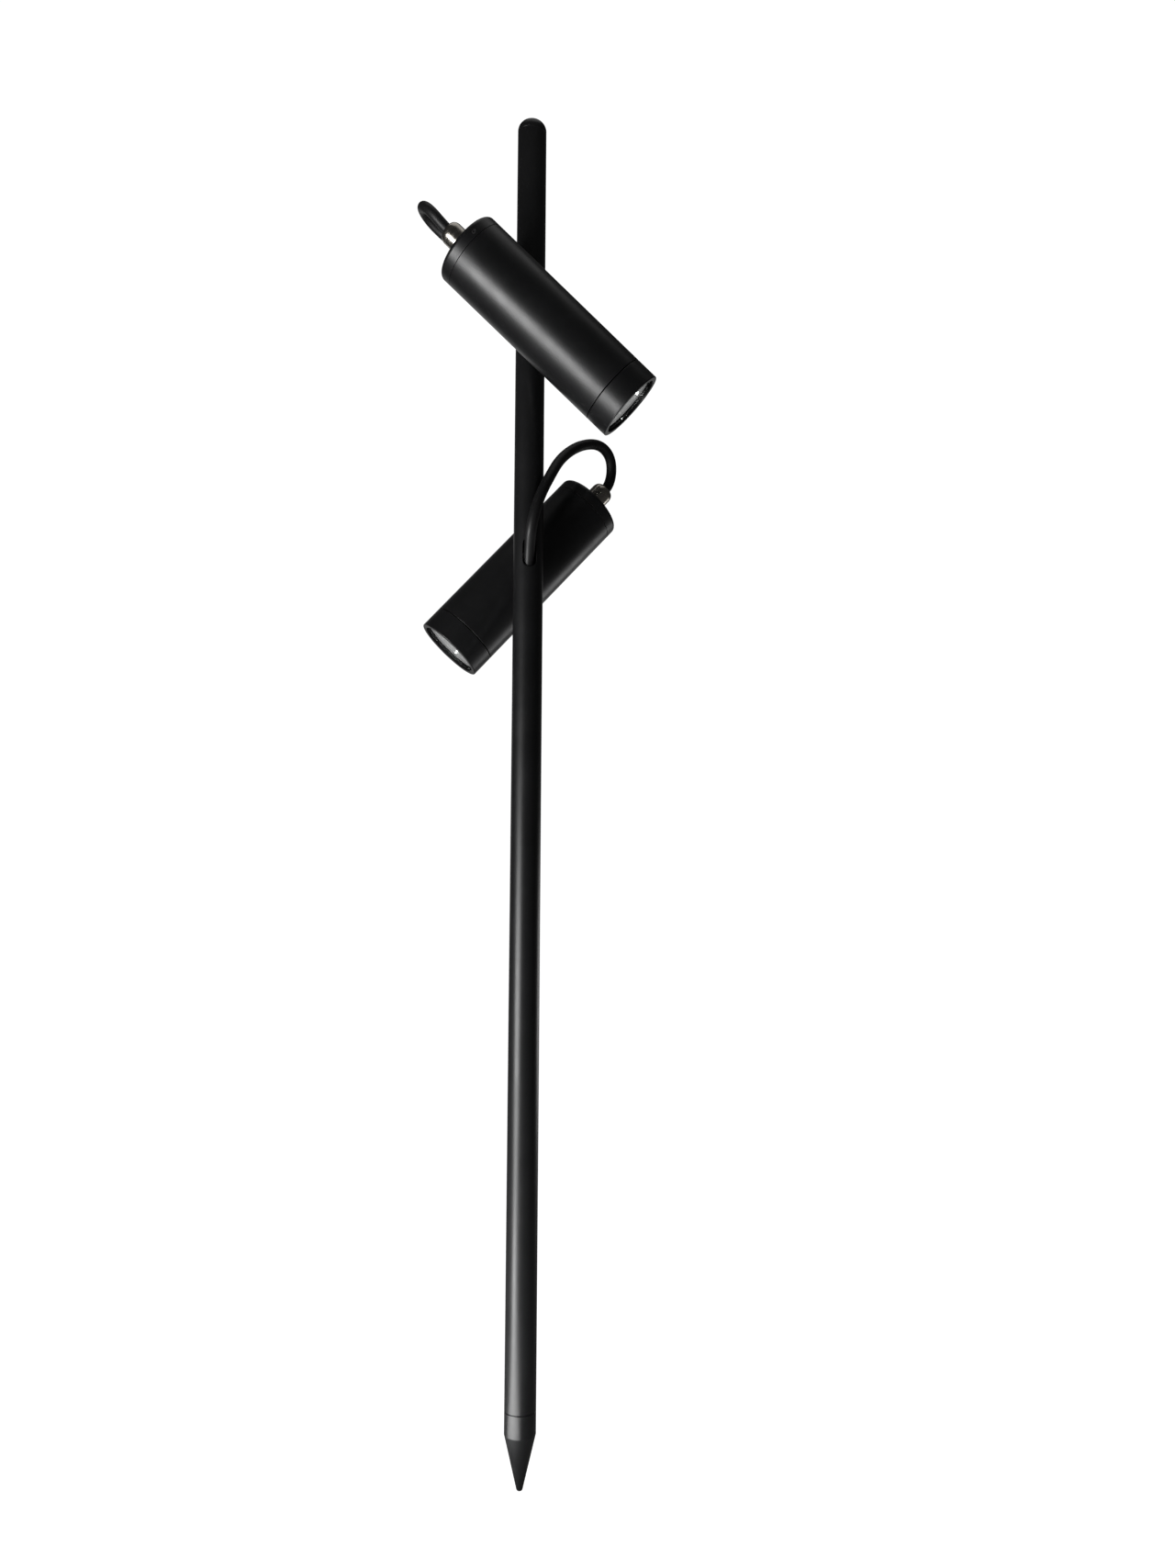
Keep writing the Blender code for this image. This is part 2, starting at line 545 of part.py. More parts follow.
def make_optics(lamp, frame):
    """Glass, gasket, reflector, emitter, its board and screws, and the finned heat sink."""
    n, front = lamp.name, lamp.front

    def add(name, profile, look, sides=MEDIUM, ring=False):
        piece = turned(f"{n}_{name}", profile, sides, ring)
        return finish(place(piece, frame, FORWARD), look)

    add("lens", disc_profile(GLASS_RADIUS, front - GLASS_FACE, front - GLASS_BACK),
        "clear_glass", ROUND)
    gasket_face = front - GLASS_BACK - GAP
    gasket = tube_profile(GLASS_RADIUS, MOUTH_RADIUS + 0.4 * MM, gasket_face,
                          gasket_face - 1.4 * MM)
    add("lens_gasket", gasket, "seal_silicone", ROUND, ring=True)

    # the cup is a parabola: its radius squared falls evenly with its depth
    top = front - GLASS_BACK - 2.3 * MM
    steps = np.linspace(0.0, 1.0, 5)
    narrowing = MOUTH_RADIUS ** 2 - THROAT_RADIUS ** 2
    cup = [(math.sqrt(THROAT_RADIUS ** 2 + narrowing * (1 - t)), top - REFLECTOR_DEPTH * t)
           for t in steps]
    skin = 0.9 * MM
    rim, rim_thickness = LAMP_BORE - 0.4 * MM, 1.2 * MM
    flange = [(rim, top), (rim, top - rim_thickness)]
    outside = [(radius + skin, height) for radius, height in cup[1:]]
    add("reflector", flange + outside + cup[::-1], "mirror_aluminium", ring=True)

    emitter_back = top - REFLECTOR_DEPTH - 1.4 * MM
    add("led_emitter", disc_profile(6.5 * MM, emitter_back + 1 * MM, emitter_back), "phosphor",
        SMALL)
    board_face, board_thickness = emitter_back - GAP, 1.6 * MM
    board = add("led_board", disc_profile(15 * MM, board_face, board_face - board_thickness),
                "white_board")
    sink_top = board_face - board_thickness - 0.4 * MM
    core, base, pitch, fin = 11 * MM, 8 * MM, 5.5 * MM, 2.5 * MM
    fins = [(rim, sink_top), (rim, sink_top - base), (core, sink_top - base)]
    for number in range(3):
        start = sink_top - base - (number + 1) * pitch + fin
        fins += [(core, start), (rim, start), (rim, start - fin), (core, start - fin)]
    bottom = fins.pop()[1]
    wire_way = 3 * MM
    fins += [(wire_way, bottom), (wire_way, sink_top)]
    sink = add("heat_sink", fins, "bare_aluminium", ring=True)

    shank, shank_length, head, head_height = 1.4 * MM, 6.8 * MM, 2.1 * MM, 1.5 * MM
    seat = board_face + GAP
    for number, side in ((1, 1), (2, -1)):
        at = (0, side * 11.8 * MM, 0)
        hole = cylinder(f"{n}_screw_hole_{number}", shank + 0.4 * MM,
                        seat - shank_length - 1 * MM, seat + 2 * MM, 12)
        place(hole, frame, FORWARD, at)
        cut(board, hole)
        cut(sink, hole)
        screw = turned(f"{n}_board_screw_{number}", [
            (0.0, seat + head_height), (head - 0.4 * MM, seat + head_height),
            (head, seat + head_height - 0.4 * MM), (head, seat), (shank, seat),
            (shank, seat - shank_length), (0.0, seat - shank_length)], 12)
        finish(place(screw, frame, FORWARD, at), "steel")


def make_driver(lamp, frame):
    """The potted LED driver, a bevelled brick behind the heat sink."""
    length, width, height = 50 * MM, 34 * MM, 25 * MM
    middle = lamp.rear + CAP_LENGTH + 37.5 * MM + length / 2
    mesh = bpy.data.meshes.new(f"{lamp.name}_driver")
    bm = bmesh.new()
    made = bmesh.ops.create_cube(bm, size=1.0)
    bmesh.ops.scale(bm, verts=made["verts"], vec=(length, width, height))
    bm.to_mesh(mesh)
    bm.free()
    driver = bpy.data.objects.new(f"{lamp.name}_driver", mesh)
    PARTS.objects.link(driver)
    bevel = driver.modifiers.new("bevel", "BEVEL")
    bevel.width = 2 * MM
    bevel.segments = 2
    finish(place(driver, frame, UP, (middle, 0, 0)), "potting")


def make_rear_cap(lamp, frame):
    """The rounded cap with its plug, O-ring and the small grub screw that locks it."""
    n, rear = lamp.name, lamp.rear
    seam = rear + CAP_LENGTH - GAP / 2
    plug = seam + CAP_PLUG_DEPTH
    middle = seam + 3.2 * MM
    groove_top, groove_bottom = middle + 1.1 * MM, middle - 1.1 * MM
    plug_radius = LAMP_BORE - GAP
    groove = plug_radius - 1.4 * MM
    inside, floor, gland_hole = 19.5 * MM, rear + 3 * MM, 6.3 * MM
    corner = arc((LAMP_RADIUS - CAP_ROUNDING, rear + CAP_ROUNDING), CAP_ROUNDING, 0, -90, 3)
    cap = turned(f"{n}_rear_cap", [
        (plug_radius, plug), (plug_radius, groove_top), (groove, groove_top),
        (groove, groove_bottom), (plug_radius, groove_bottom), (plug_radius, seam),
        (LAMP_RADIUS - GAP, seam), (LAMP_RADIUS, seam - GAP)] + corner + [
        (gland_hole, rear), (gland_hole, floor), (inside, floor), (inside, plug)],
        ROUND, ring=True)
    finish(place(cap, frame, FORWARD), "black_satin")
    ring = o_ring_profile(groove + 0.9 * MM, SEAL_SECTION, middle)
    seal = turned(f"{n}_cap_seal", ring, MEDIUM, ring=True)
    finish(place(seal, frame, FORWARD), "seal_silicone")

    # the grub screw, on the side that faces away from the pole and aimed at the lamp's axis
    screw_radius, screw_length, sunk, key_depth = 1.5 * MM, 5.2 * MM, 0.4 * MM, 2 * MM
    screw_top = LAMP_RADIUS - sunk
    screw_end = screw_top - screw_length
    direction = (math.pi / 2, 0.0, 0.0)
    at = (rear + CAP_SCREW_STATION, 0, 0)
    pocket = cylinder(f"{n}_cap_screw_hole", screw_radius + GAP, screw_end - 0.4 * MM,
                      LAMP_RADIUS + 3 * MM, 12)
    cut(cap, place(pocket, frame, direction, at))
    screw = cylinder(f"{n}_cap_screw", screw_radius, screw_end, screw_top, 12)
    finish(place(screw, frame, direction, at), "steel")
    key = cylinder(f"{n}_cap_screw_key", 0.85 * MM, screw_top - key_depth, LAMP_RADIUS, 6)
    cut(screw, place(key, frame, direction, at))


def make_gland(lamp, frame):
    """The nickel cable gland: threaded body with a hexagon collar, seal and domed nut."""
    n, rear = lamp.name, lamp.rear
    collar_front = rear - GAP
    collar_back = collar_front - COLLAR_LENGTH
    thread, neck, inner_end = 6.7 * MM, 6 * MM, rear + 4.5 * MM
    thread_start = collar_front - 1 * MM
    thread_end = rear - 13.2 * MM
    counterbore, counterbore_floor = 5.9 * MM, rear - 9 * MM
    body = turned(f"{n}_gland_body", [
        (neck, inner_end), (neck, thread_start), (thread, thread_start), (thread, thread_end),
        (counterbore, thread_end), (counterbore, counterbore_floor),
        (LEAD_BORE, counterbore_floor), (LEAD_BORE, inner_end)], SMALL, ring=True)
    finish(place(body, frame, FORWARD), "nickel")
    hexagon = turned(f"{n}_gland_hexagon", tube_profile(
        COLLAR_RADIUS, neck - 0.6 * MM, collar_front, collar_back), 6, ring=True)
    boolean(body, place(hexagon, frame, FORWARD), "UNION")

    seal = turned(f"{n}_gland_seal", tube_profile(
        counterbore - GAP, LEAD_BORE, counterbore_floor - GAP, thread_end), SMALL, ring=True)
    finish(place(seal, frame, FORWARD), "seal_silicone")

    # the nut's crown is a quarter of an ellipse, from its side to its mouth
    nut_front, nut_back = collar_back - GAP, rear - GLAND_LENGTH
    nut_bore, roof = thread + GAP, thread_end - GAP
    mouth, crown_height = 5.2 * MM, 5.2 * MM
    crown = [(mouth + (NUT_RADIUS - mouth) * math.cos(t),
              nut_back + crown_height * (1 - math.sin(t)))
             for t in np.radians(np.linspace(0, 90, 6))]
    nut = turned(f"{n}_gland_nut", [(NUT_RADIUS, nut_front)] + crown + [
        (LEAD_BORE, nut_back), (LEAD_BORE, roof), (nut_bore, roof), (nut_bore, nut_front)],
        SMALL, ring=True)
    finish(place(nut, frame, FORWARD), "nickel")


def make_lead(lamp):
    """The rubber lead: out of the gland along the lamp's axis, round, and down the slot."""
    straight = (5 * MM, -5 * MM, -12.5 * MM, -GLAND_LENGTH - 1 * MM)
    start = [lamp.axis_point(lamp.rear + station) for station in straight]
    free = [Vector(point) * MM for point in lamp.route]
    last = free[-1]
    end = [Vector((last.x, last.y, lamp.height + JUNCTION_TOP + GAP))]
    lead = cable(f"{lamp.name}_lead", start + free + end, LEAD_RADIUS, 6.5 * MM)
    finish(lead, "black_rubber")


def make_junction(lamp, mount):
    """The potted joint that the lead ends in, inside the pole."""
    profile = disc_profile(SPIGOT_RADIUS - 0.6 * MM, JUNCTION_TOP, JUNCTION_BOTTOM, 1 * MM)
    finish(place(turned(f"{lamp.name}_junction", profile, SMALL), mount, UP), "potting")


def make_lamp(lamp, mount):
    swivel = empty(f"{lamp.name}_swivel_axis", mount, rotation=(0, lamp.aim, 0))
    frame = empty(f"{lamp.name}_lamp_frame", swivel, location=(0, -AXIS_DISTANCE, 0))
    make_swivel(lamp, mount, swivel)
    make_housing(lamp, frame)
    make_bezel(lamp, frame)
    make_optics(lamp, frame)
    make_driver(lamp, frame)
    make_rear_cap(lamp, frame)
    make_gland(lamp, frame)
    make_lead(lamp)
    make_junction(lamp, mount)


clear_scene()
PARTS = new_collection("garden_spotlight_stake")
CUTTERS = new_collection("cutters")

MOUNTS = [
    (lamp, empty(f"{lamp.name}_mount", location=(0, 0, lamp.height), rotation=(0, 0, lamp.turn)))
    for lamp in LAMPS
]
make_pole(MOUNTS)
make_top_plug()
make_spike()
make_inlet()
make_inner_cables()
for each_lamp, each_mount in MOUNTS:
    make_lamp(each_lamp, each_mount)

bpy.context.view_layer.update()
for part in PARTS.objects:
    if part.type == "MESH":
        shade(part.data)
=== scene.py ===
"""Garden spotlight stake: finished surfaces, finishes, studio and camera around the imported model.

Lengths are in metres, +Z runs up the pole and the origin is the spike's point. Each lamp head is
made in its own axes: the first points at the pole, the second up across the lamp and the third
along the lamp to its front. A "station" is a distance along that third axis from the swivel.

Every new piece is a set of grids of points, each worked out as whole arrays: a profile turned
about an axis, an outline carried through a wall, or a ring carried along a cable's route.
"""

import json
import math

import bmesh
import bpy
import numpy as np
from mathutils import Matrix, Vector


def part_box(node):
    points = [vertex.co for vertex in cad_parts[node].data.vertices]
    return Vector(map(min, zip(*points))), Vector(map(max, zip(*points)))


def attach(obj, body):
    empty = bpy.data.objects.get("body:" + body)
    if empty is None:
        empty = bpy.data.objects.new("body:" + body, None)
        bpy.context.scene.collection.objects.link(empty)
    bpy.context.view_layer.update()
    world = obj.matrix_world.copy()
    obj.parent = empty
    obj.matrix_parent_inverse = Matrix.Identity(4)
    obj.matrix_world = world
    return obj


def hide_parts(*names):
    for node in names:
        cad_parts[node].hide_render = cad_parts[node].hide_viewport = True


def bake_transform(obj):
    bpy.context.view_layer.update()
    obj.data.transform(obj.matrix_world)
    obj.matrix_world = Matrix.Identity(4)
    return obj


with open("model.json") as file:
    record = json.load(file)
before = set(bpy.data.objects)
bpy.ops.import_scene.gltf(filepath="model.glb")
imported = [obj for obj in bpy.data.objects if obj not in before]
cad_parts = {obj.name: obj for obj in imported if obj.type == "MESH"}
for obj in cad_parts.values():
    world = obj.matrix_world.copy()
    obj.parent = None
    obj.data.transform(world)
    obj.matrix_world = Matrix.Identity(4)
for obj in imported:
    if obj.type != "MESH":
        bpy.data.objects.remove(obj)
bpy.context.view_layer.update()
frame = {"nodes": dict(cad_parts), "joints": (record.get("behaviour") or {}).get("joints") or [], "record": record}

MM = 0.001
GAP = 0.3 * MM                      # clearance between pieces that touch
EDGE = 0.25 * MM                    # the usual softened edge
SEAM_EDGE = 0.1 * MM                # the crisper edges of the rear cap's seam

POLE_RADIUS = 11 * MM
POLE_BORE = 9.5 * MM
SPIGOT_RADIUS = POLE_BORE - GAP
SLOT_WIDTH = 10 * MM
SLOT_TOP = 11.6 * MM                # from the swivel's axis
SLOT_BOTTOM = -10.4 * MM
BOLT_HOLE = 3.4 * MM                # radii of the round holes in the pole's wall
INLET_HOLE = 4.3 * MM
SWIVEL_RADIUS = 9 * MM
SADDLE_FACE = 13.75 * MM            # distances out from the pole's axis
WASHER_BACK, WASHER_FACE = 14.05 * MM, 14.85 * MM
BOSS_FACE = 15.15 * MM

LAMP_RADIUS = 27 * MM
LAMP_BORE = 23 * MM
NOSE_RADIUS = 24.9 * MM             # the barrel's step inside the bezel
NOSE_DEPTH = 8.2 * MM               # depths are from the bezel's face
GLASS_FACE, GLASS_BACK = 2.1 * MM, 6.1 * MM
GLASS_RADIUS = 23.9 * MM
BEZEL_LENGTH = 17.6 * MM
CAP_LENGTH = 9.5 * MM
CAP_ROUNDING = 3 * MM
CAP_SCREW_STATION = 5.8 * MM        # from the rear of the cap
GLAND_LENGTH = 18 * MM
LEAD_RADIUS = 4 * MM
LEAD_BORE = LEAD_RADIUS + GAP
LEAD_STEP = 1.5 * MM                # between the rings of a lead
SCREW_COLUMNS = 60

FULL_TURN = 2 * math.pi

# ---- the camera ------------------------------------------------------------------------
CAMERA_PLACE = np.array((-0.07514, -0.82335, 0.39816))
CAMERA_YAW = math.radians(-8.3093)
CAMERA_PITCH = math.radians(5.9926)
CAMERA_ROLL = math.radians(0.2201)
CAMERA_LENS = 26.2266               # both in millimetres, as Blender takes them
CAMERA_SENSOR = 36.0


def make_camera():
    """A camera low in front of the stake, looking slightly up; its axes come from three turns."""
    level = np.array((math.cos(CAMERA_YAW), math.sin(CAMERA_YAW), 0.0))
    ahead = np.array((-math.sin(CAMERA_YAW), math.cos(CAMERA_YAW), 0.0))
    upright = np.array((0.0, 0.0, 1.0))
    look = math.cos(CAMERA_PITCH) * ahead + math.sin(CAMERA_PITCH) * upright
    over = math.cos(CAMERA_PITCH) * upright - math.sin(CAMERA_PITCH) * ahead
    right = math.cos(CAMERA_ROLL) * level + math.sin(CAMERA_ROLL) * over
    top = math.cos(CAMERA_ROLL) * over - math.sin(CAMERA_ROLL) * level
    data = bpy.data.cameras.new("camera")
    data.sensor_width = CAMERA_SENSOR
    data.lens = CAMERA_LENS
    data.clip_start = 0.01
    camera = bpy.data.objects.new("camera", data)
    bpy.context.scene.collection.objects.link(camera)
    turn = np.eye(4)
    turn[:3, 0], turn[:3, 1], turn[:3, 2], turn[:3, 3] = right, top, -look, CAMERA_PLACE
    camera.matrix_world = Matrix(turn.tolist())
    bpy.context.scene.camera = camera


make_camera()


# ---- axes of the pole and of the heads -------------------------------------------------
class Axes:
    """A piece's own axes and origin in the model's frame."""

    def __init__(self, origin, first, second, third):
        self.origin = np.array(origin, float)
        self.rows = np.array((first, second, third), float)

    def out(self, points):
        """Points of these axes, as points of the model's frame."""
        return self.origin + points @ self.rows


class Head:
    """A lamp head's axes and stations, read from its joint, its front face and its nodes."""

    def __init__(self, name, route):
        self.name = name
        self.body = f"{name}_lamp"
        self.route = route
        joint = next(j for j in frame["joints"] if j["name"] == f"{name}_swivel")
        face = next(m for m in frame["record"]["mounts"] if m["name"] == f"{name}_front_face")
        low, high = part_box(f"{name}_housing")
        self.pivot = np.array(joint["pos_m"], float)
        ahead = np.array(face["axis"], float)
        away = (low.y + high.y) / 2
        side = np.array((0.0, -math.copysign(1.0, away), 0.0))
        over = np.cross(ahead, side)
        centre = self.pivot + (0.0, away, 0.0)
        self.axes = Axes(centre, side, over, ahead)
        self.swivel = Axes(self.pivot, ahead, over, -side)
        level = np.cross(side, (0.0, 0.0, 1.0))
        self.mount = Axes(self.pivot, -level, (0.0, 0.0, 1.0), -side)
        self.distance = abs(away)
        self.front = float((np.array(face["pos_m"]) - centre) @ ahead)
        cap = frame["nodes"][f"{name}_rear_cap"].data.vertices
        corners = np.array([v.co for v in cap], float)
        self.rear = float(((corners - centre) @ ahead).min())


POLE = Axes((0, 0, 0), (1, 0, 0), (0, 1, 0), (0, 0, 1))

# the points that each lead's free run passes through
UPPER_ROUTE = [
    (-0.0702, -0.0465, 0.8830), (-0.0752, -0.0464, 0.8885), (-0.0793, -0.0432, 0.8939),
    (-0.0818, -0.0370, 0.8983), (-0.0813, -0.0286, 0.9005), (-0.0776, -0.0209, 0.8995),
    (-0.0713, -0.0158, 0.8958), (-0.0630, -0.0137, 0.8897), (-0.0535, -0.0122, 0.8822),
    (-0.0420, -0.0105, 0.8750), (-0.0300, -0.0060, 0.8688), (-0.0192, 0.0030, 0.8640),
    (-0.0112, 0.0133, 0.8570), (-0.0040, 0.0195, 0.8460), (-0.0004, 0.0170, 0.8325),
    (0.0, 0.0116, 0.8230), (0.0, 0.0076, 0.8150), (0.0, 0.0053, 0.8080), (0.0, 0.0048, 0.8005),
]
LOWER_ROUTE = [
    (0.0698, 0.0439, 0.7420), (0.0670, 0.0394, 0.7516), (0.0596, 0.0344, 0.7568),
    (0.0470, 0.0282, 0.7550), (0.0346, 0.0196, 0.7462), (0.0240, 0.0075, 0.7325),
    (0.0154, -0.0068, 0.7150), (0.0082, -0.0160, 0.6985), (0.0028, -0.0197, 0.6820),
    (0.0003, -0.0170, 0.6685), (0.0, -0.0116, 0.6593), (0.0, -0.0076, 0.6513),
    (0.0, -0.0053, 0.6443), (0.0, -0.0048, 0.6368),
]
HEADS = [Head("upper", UPPER_ROUTE), Head("lower", LOWER_ROUTE)]


# ---- finishes --------------------------------------------------------------------------
class Finish:
    """A Principled material with the node helpers that the finishes below share."""

    def __init__(self, name, colour, roughness, metallic=0.0, coordinates="Object"):
        self.material = bpy.data.materials.new(name)
        self.material.use_nodes = True
        self.tree = self.material.node_tree
        self.shader = self.tree.nodes["Principled BSDF"]
        self.colour = colour
        self.set("Base Color", (*colour, 1.0))
        self.set("Roughness", roughness)
        self.set("Metallic", metallic)
        self.place = self.tree.nodes.new("ShaderNodeTexCoord").outputs[coordinates]

    def set(self, socket, value):
        self.shader.inputs[socket].default_value = value

    def link(self, source, target):
        self.tree.links.new(source, target)

    def scaled(self, scale):
        """The coordinates stretched by a scale for each axis."""
        mapping = self.tree.nodes.new("ShaderNodeMapping")
        mapping.inputs["Scale"].default_value = scale
        self.link(self.place, mapping.inputs["Vector"])
        return mapping.outputs["Vector"]

    def noise(self, scale, detail=2.0, source=None, roughness=0.5):
        """Cloudy noise, with this many cells to the metre."""
        node = self.tree.nodes.new("ShaderNodeTexNoise")
        node.inputs["Scale"].default_value = scale
        node.inputs["Detail"].default_value = detail
        node.inputs["Roughness"].default_value = roughness
        self.link(source or self.place, node.inputs["Vector"])
        return node.outputs["Fac"]

    def between(self, factor, low, high, from_low=0.3, from_high=0.7):
        """A factor's usual range, spread from low to high."""
        node = self.tree.nodes.new("ShaderNodeMapRange")
        for socket, value in zip(("From Min", "From Max", "To Min", "To Max"),
                                 (from_low, from_high, low, high)):
            node.inputs[socket].default_value = value
        self.link(factor, node.inputs["Value"])
        return node.outputs["Result"]

    def rough(self, factor, low, high):
        self.link(self.between(factor, low, high), self.shader.inputs["Roughness"])

    def tint(self, factor, dark, light):
        """The base colour, moved between two shares of itself."""
        ramp = self.tree.nodes.new("ShaderNodeValToRGB")
        ends = ramp.color_ramp.elements
        ends[0].position, ends[1].position = 0.3, 0.7
        ends[0].color = (*[c * dark for c in self.colour], 1.0)
        ends[1].color = (*[min(1.0, c * light) for c in self.colour], 1.0)
        self.link(factor, ramp.inputs["Fac"])
        self.link(ramp.outputs["Color"], self.shader.inputs["Base Color"])

    def grain(self, factor, depth, share=1.0):
        """Relief of this depth, in metres."""
        node = self.tree.nodes.new("ShaderNodeBump")
        node.inputs["Strength"].default_value = share
        node.inputs["Distance"].default_value = depth
        self.link(factor, node.inputs["Height"])
        self.link(node.outputs["Normal"], self.shader.inputs["Normal"])


def satin_coat():
    """Fine satin powder coat: a tight orange peel, with faint cloudy changes of sheen."""
    made = Finish("satin black coat", (0.0075, 0.0076, 0.0081), 0.36)
    made.set("Specular IOR Level", 0.52)
    made.rough(made.noise(60, 3), 0.33, 0.39)
    made.tint(made.noise(25, 2), 0.85, 1.2)
    made.grain(made.noise(2600, 3), 0.02 * MM, 0.35)
    return made.material


def cable_sheath():
    """Matt rubber sheath with faint lines drawn along it by the extruder."""
    made = Finish("rubber sheath", (0.008, 0.008, 0.0085), 0.5, coordinates="UV")
    made.set("Specular IOR Level", 0.4)
    lines = made.noise(1.0, 2, made.scaled((40.0, 12.0, 1.0)))
    made.rough(lines, 0.42, 0.54)
    made.tint(made.noise(1.0, 2, made.scaled((3.0, 60.0, 1.0))), 0.8, 1.3)
    made.grain(lines, 0.03 * MM, 0.5)
    return made.material


def moulded(name, colour, roughness, grain_scale=1500, depth=0.03):
    """Moulded rubber or plastic with a fine spark-eroded grain; depth in millimetres."""
    made = Finish(name, colour, roughness)
    made.rough(made.noise(120, 2), roughness - 0.06, roughness + 0.06)
    made.tint(made.noise(80, 2), 0.85, 1.15)
    made.grain(made.noise(grain_scale, 2), depth * MM, 0.5)
    return made.material


def nickel_plate():
    """Bright plate over turned brass: fine rings left by the lathe under a soft shine."""
    made = Finish("nickel plate", (0.50, 0.47, 0.42), 0.22, 1.0, "UV")
    rings = made.noise(1.0, 2, made.scaled((0.5, 9000.0, 1.0)))
    made.rough(made.noise(1.0, 3, made.scaled((8.0, 400.0, 1.0))), 0.17, 0.30)
    made.tint(made.noise(1.0, 2, made.scaled((5.0, 250.0, 1.0))), 0.9, 1.05)
    made.grain(rings, 0.008 * MM, 0.5)
    return made.material


def machined(name, colour, roughness, coordinates="Object"):
    """Bare metal with a fine cut surface and slightly uneven shine."""
    made = Finish(name, colour, roughness, 1.0, coordinates)
    made.rough(made.noise(300, 3), roughness - 0.06, roughness + 0.08)
    made.tint(made.noise(150, 2), 0.88, 1.05)
    made.grain(made.noise(4000, 2), 0.006 * MM, 0.5)
    return made.material


def reflector_skin():
    """Vacuum-metallised cup: near mirror, with a shallow ripple that spreads the beam."""
    made = Finish("reflector skin", (0.86, 0.86, 0.86), 0.1, 1.0)
    made.rough(made.noise(200, 2), 0.07, 0.14)
    made.grain(made.noise(420, 1), 0.12 * MM, 0.35)
    return made.material


def lens_glass():
    """Clear toughened glass with the faintest green."""
    made = Finish("lens glass", (0.965, 0.985, 0.975), 0.0)
    made.set("Transmission Weight", 1.0)
    made.set("IOR", 1.5)
    made.rough(made.noise(90, 2), 0.0, 0.03)
    return made.material


def phosphor_gel():
    """Yellow gel over a grid of chips, which show through as slightly darker squares."""
    made = Finish("phosphor gel", (0.82, 0.62, 0.13), 0.35)
    made.set("Coat Weight", 0.4)
    cells = made.tree.nodes.new("ShaderNodeTexVoronoi")
    cells.inputs["Scale"].default_value = 900
    cells.inputs["Randomness"].default_value = 0.0
    made.link(made.place, cells.inputs["Vector"])
    made.tint(cells.outputs["Distance"], 1.0, 0.72)
    made.rough(made.noise(500, 2), 0.28, 0.42)
    return made.material


COAT = satin_coat()
SHEATH = cable_sheath()
NICKEL = nickel_plate()
GLASS = lens_glass()
CUP = reflector_skin()
GEL = phosphor_gel()
STEEL = machined("stainless steel", (0.55, 0.55, 0.56), 0.28)
ALUMINIUM = machined("turned aluminium", (0.72, 0.72, 0.73), 0.32)
GROMMET_RUBBER = moulded("moulded rubber", (0.014, 0.014, 0.015), 0.58)
SILICONE = moulded("silicone seal", (0.05, 0.05, 0.052), 0.55, 900)
NYLON = moulded("black nylon", (0.04, 0.04, 0.045), 0.5, 2200, 0.02)
POTTING = moulded("potting compound", (0.03, 0.03, 0.035), 0.42, 260, 0.15)
SOLDER_MASK = moulded("white solder mask", (0.8, 0.8, 0.78), 0.36, 700, 0.01)


# ---- from grids of points to pieces ----------------------------------------------------
def rounded(corners, closed=False, steps=5):
    """A profile through corners (radius, height, fillet). Each fillet is an arc that touches both
    of its corner's sides, with one more point just outside each end to keep the sides flat."""
    spots = np.array(corners, float)
    count = len(spots)
    outline = []
    for i, (x, y, fillet) in enumerate(spots):
        here = np.array((x, y))
        if fillet == 0 or (not closed and i in (0, count - 1)):
            outline.append(here)
            continue
        back = spots[i - 1, :2] - here
        forth = spots[(i + 1) % count, :2] - here
        back_length, forth_length = np.linalg.norm(back), np.linalg.norm(forth)
        back, forth = back / back_length, forth / forth_length
        half = math.acos(np.clip(back @ forth, -1, 1)) / 2
        tangent = fillet / math.tan(half)
        middle = here + (back + forth) / np.linalg.norm(back + forth) * fillet / math.sin(half)
        turns = np.linspace(0, 1, steps + 1)[:, None]
        start = here + back * tangent - middle
        stop = here + forth * tangent - middle
        sweep = math.pi - 2 * half
        arc = (np.sin((1 - turns) * sweep) * start + np.sin(turns * sweep) * stop) / math.sin(sweep)
        margin = 0.12 * MM
        if back_length > tangent + 3 * margin:
            outline.append(here + back * (tangent + margin))
        outline.extend(middle + arc)
        if forth_length > tangent + 3 * margin:
            outline.append(here + forth * (tangent + margin))
    if closed:
        outline.append(outline[0])
    return np.array(outline)


def turned(profile, columns=96, flats=0, flat_radius=None):
    """A profile of (radius, height) points turned about the third axis. With flats, radii are
    held inside a prism of that many sides: radius = min(radius, apothem / cos(angle from the
    middle of the nearest flat))."""
    angles = np.linspace(0, FULL_TURN, columns + 1)
    radius = np.repeat(profile[:, :1], columns + 1, axis=1)
    if flats:
        sector = FULL_TURN / flats
        prism = flat_radius / np.cos((angles + sector / 2) % sector - sector / 2)
        radius = np.minimum(radius, prism)
    height = np.repeat(profile[:, 1:], columns + 1, axis=1)
    return np.stack([radius * np.cos(angles), radius * np.sin(angles), height], axis=-1)


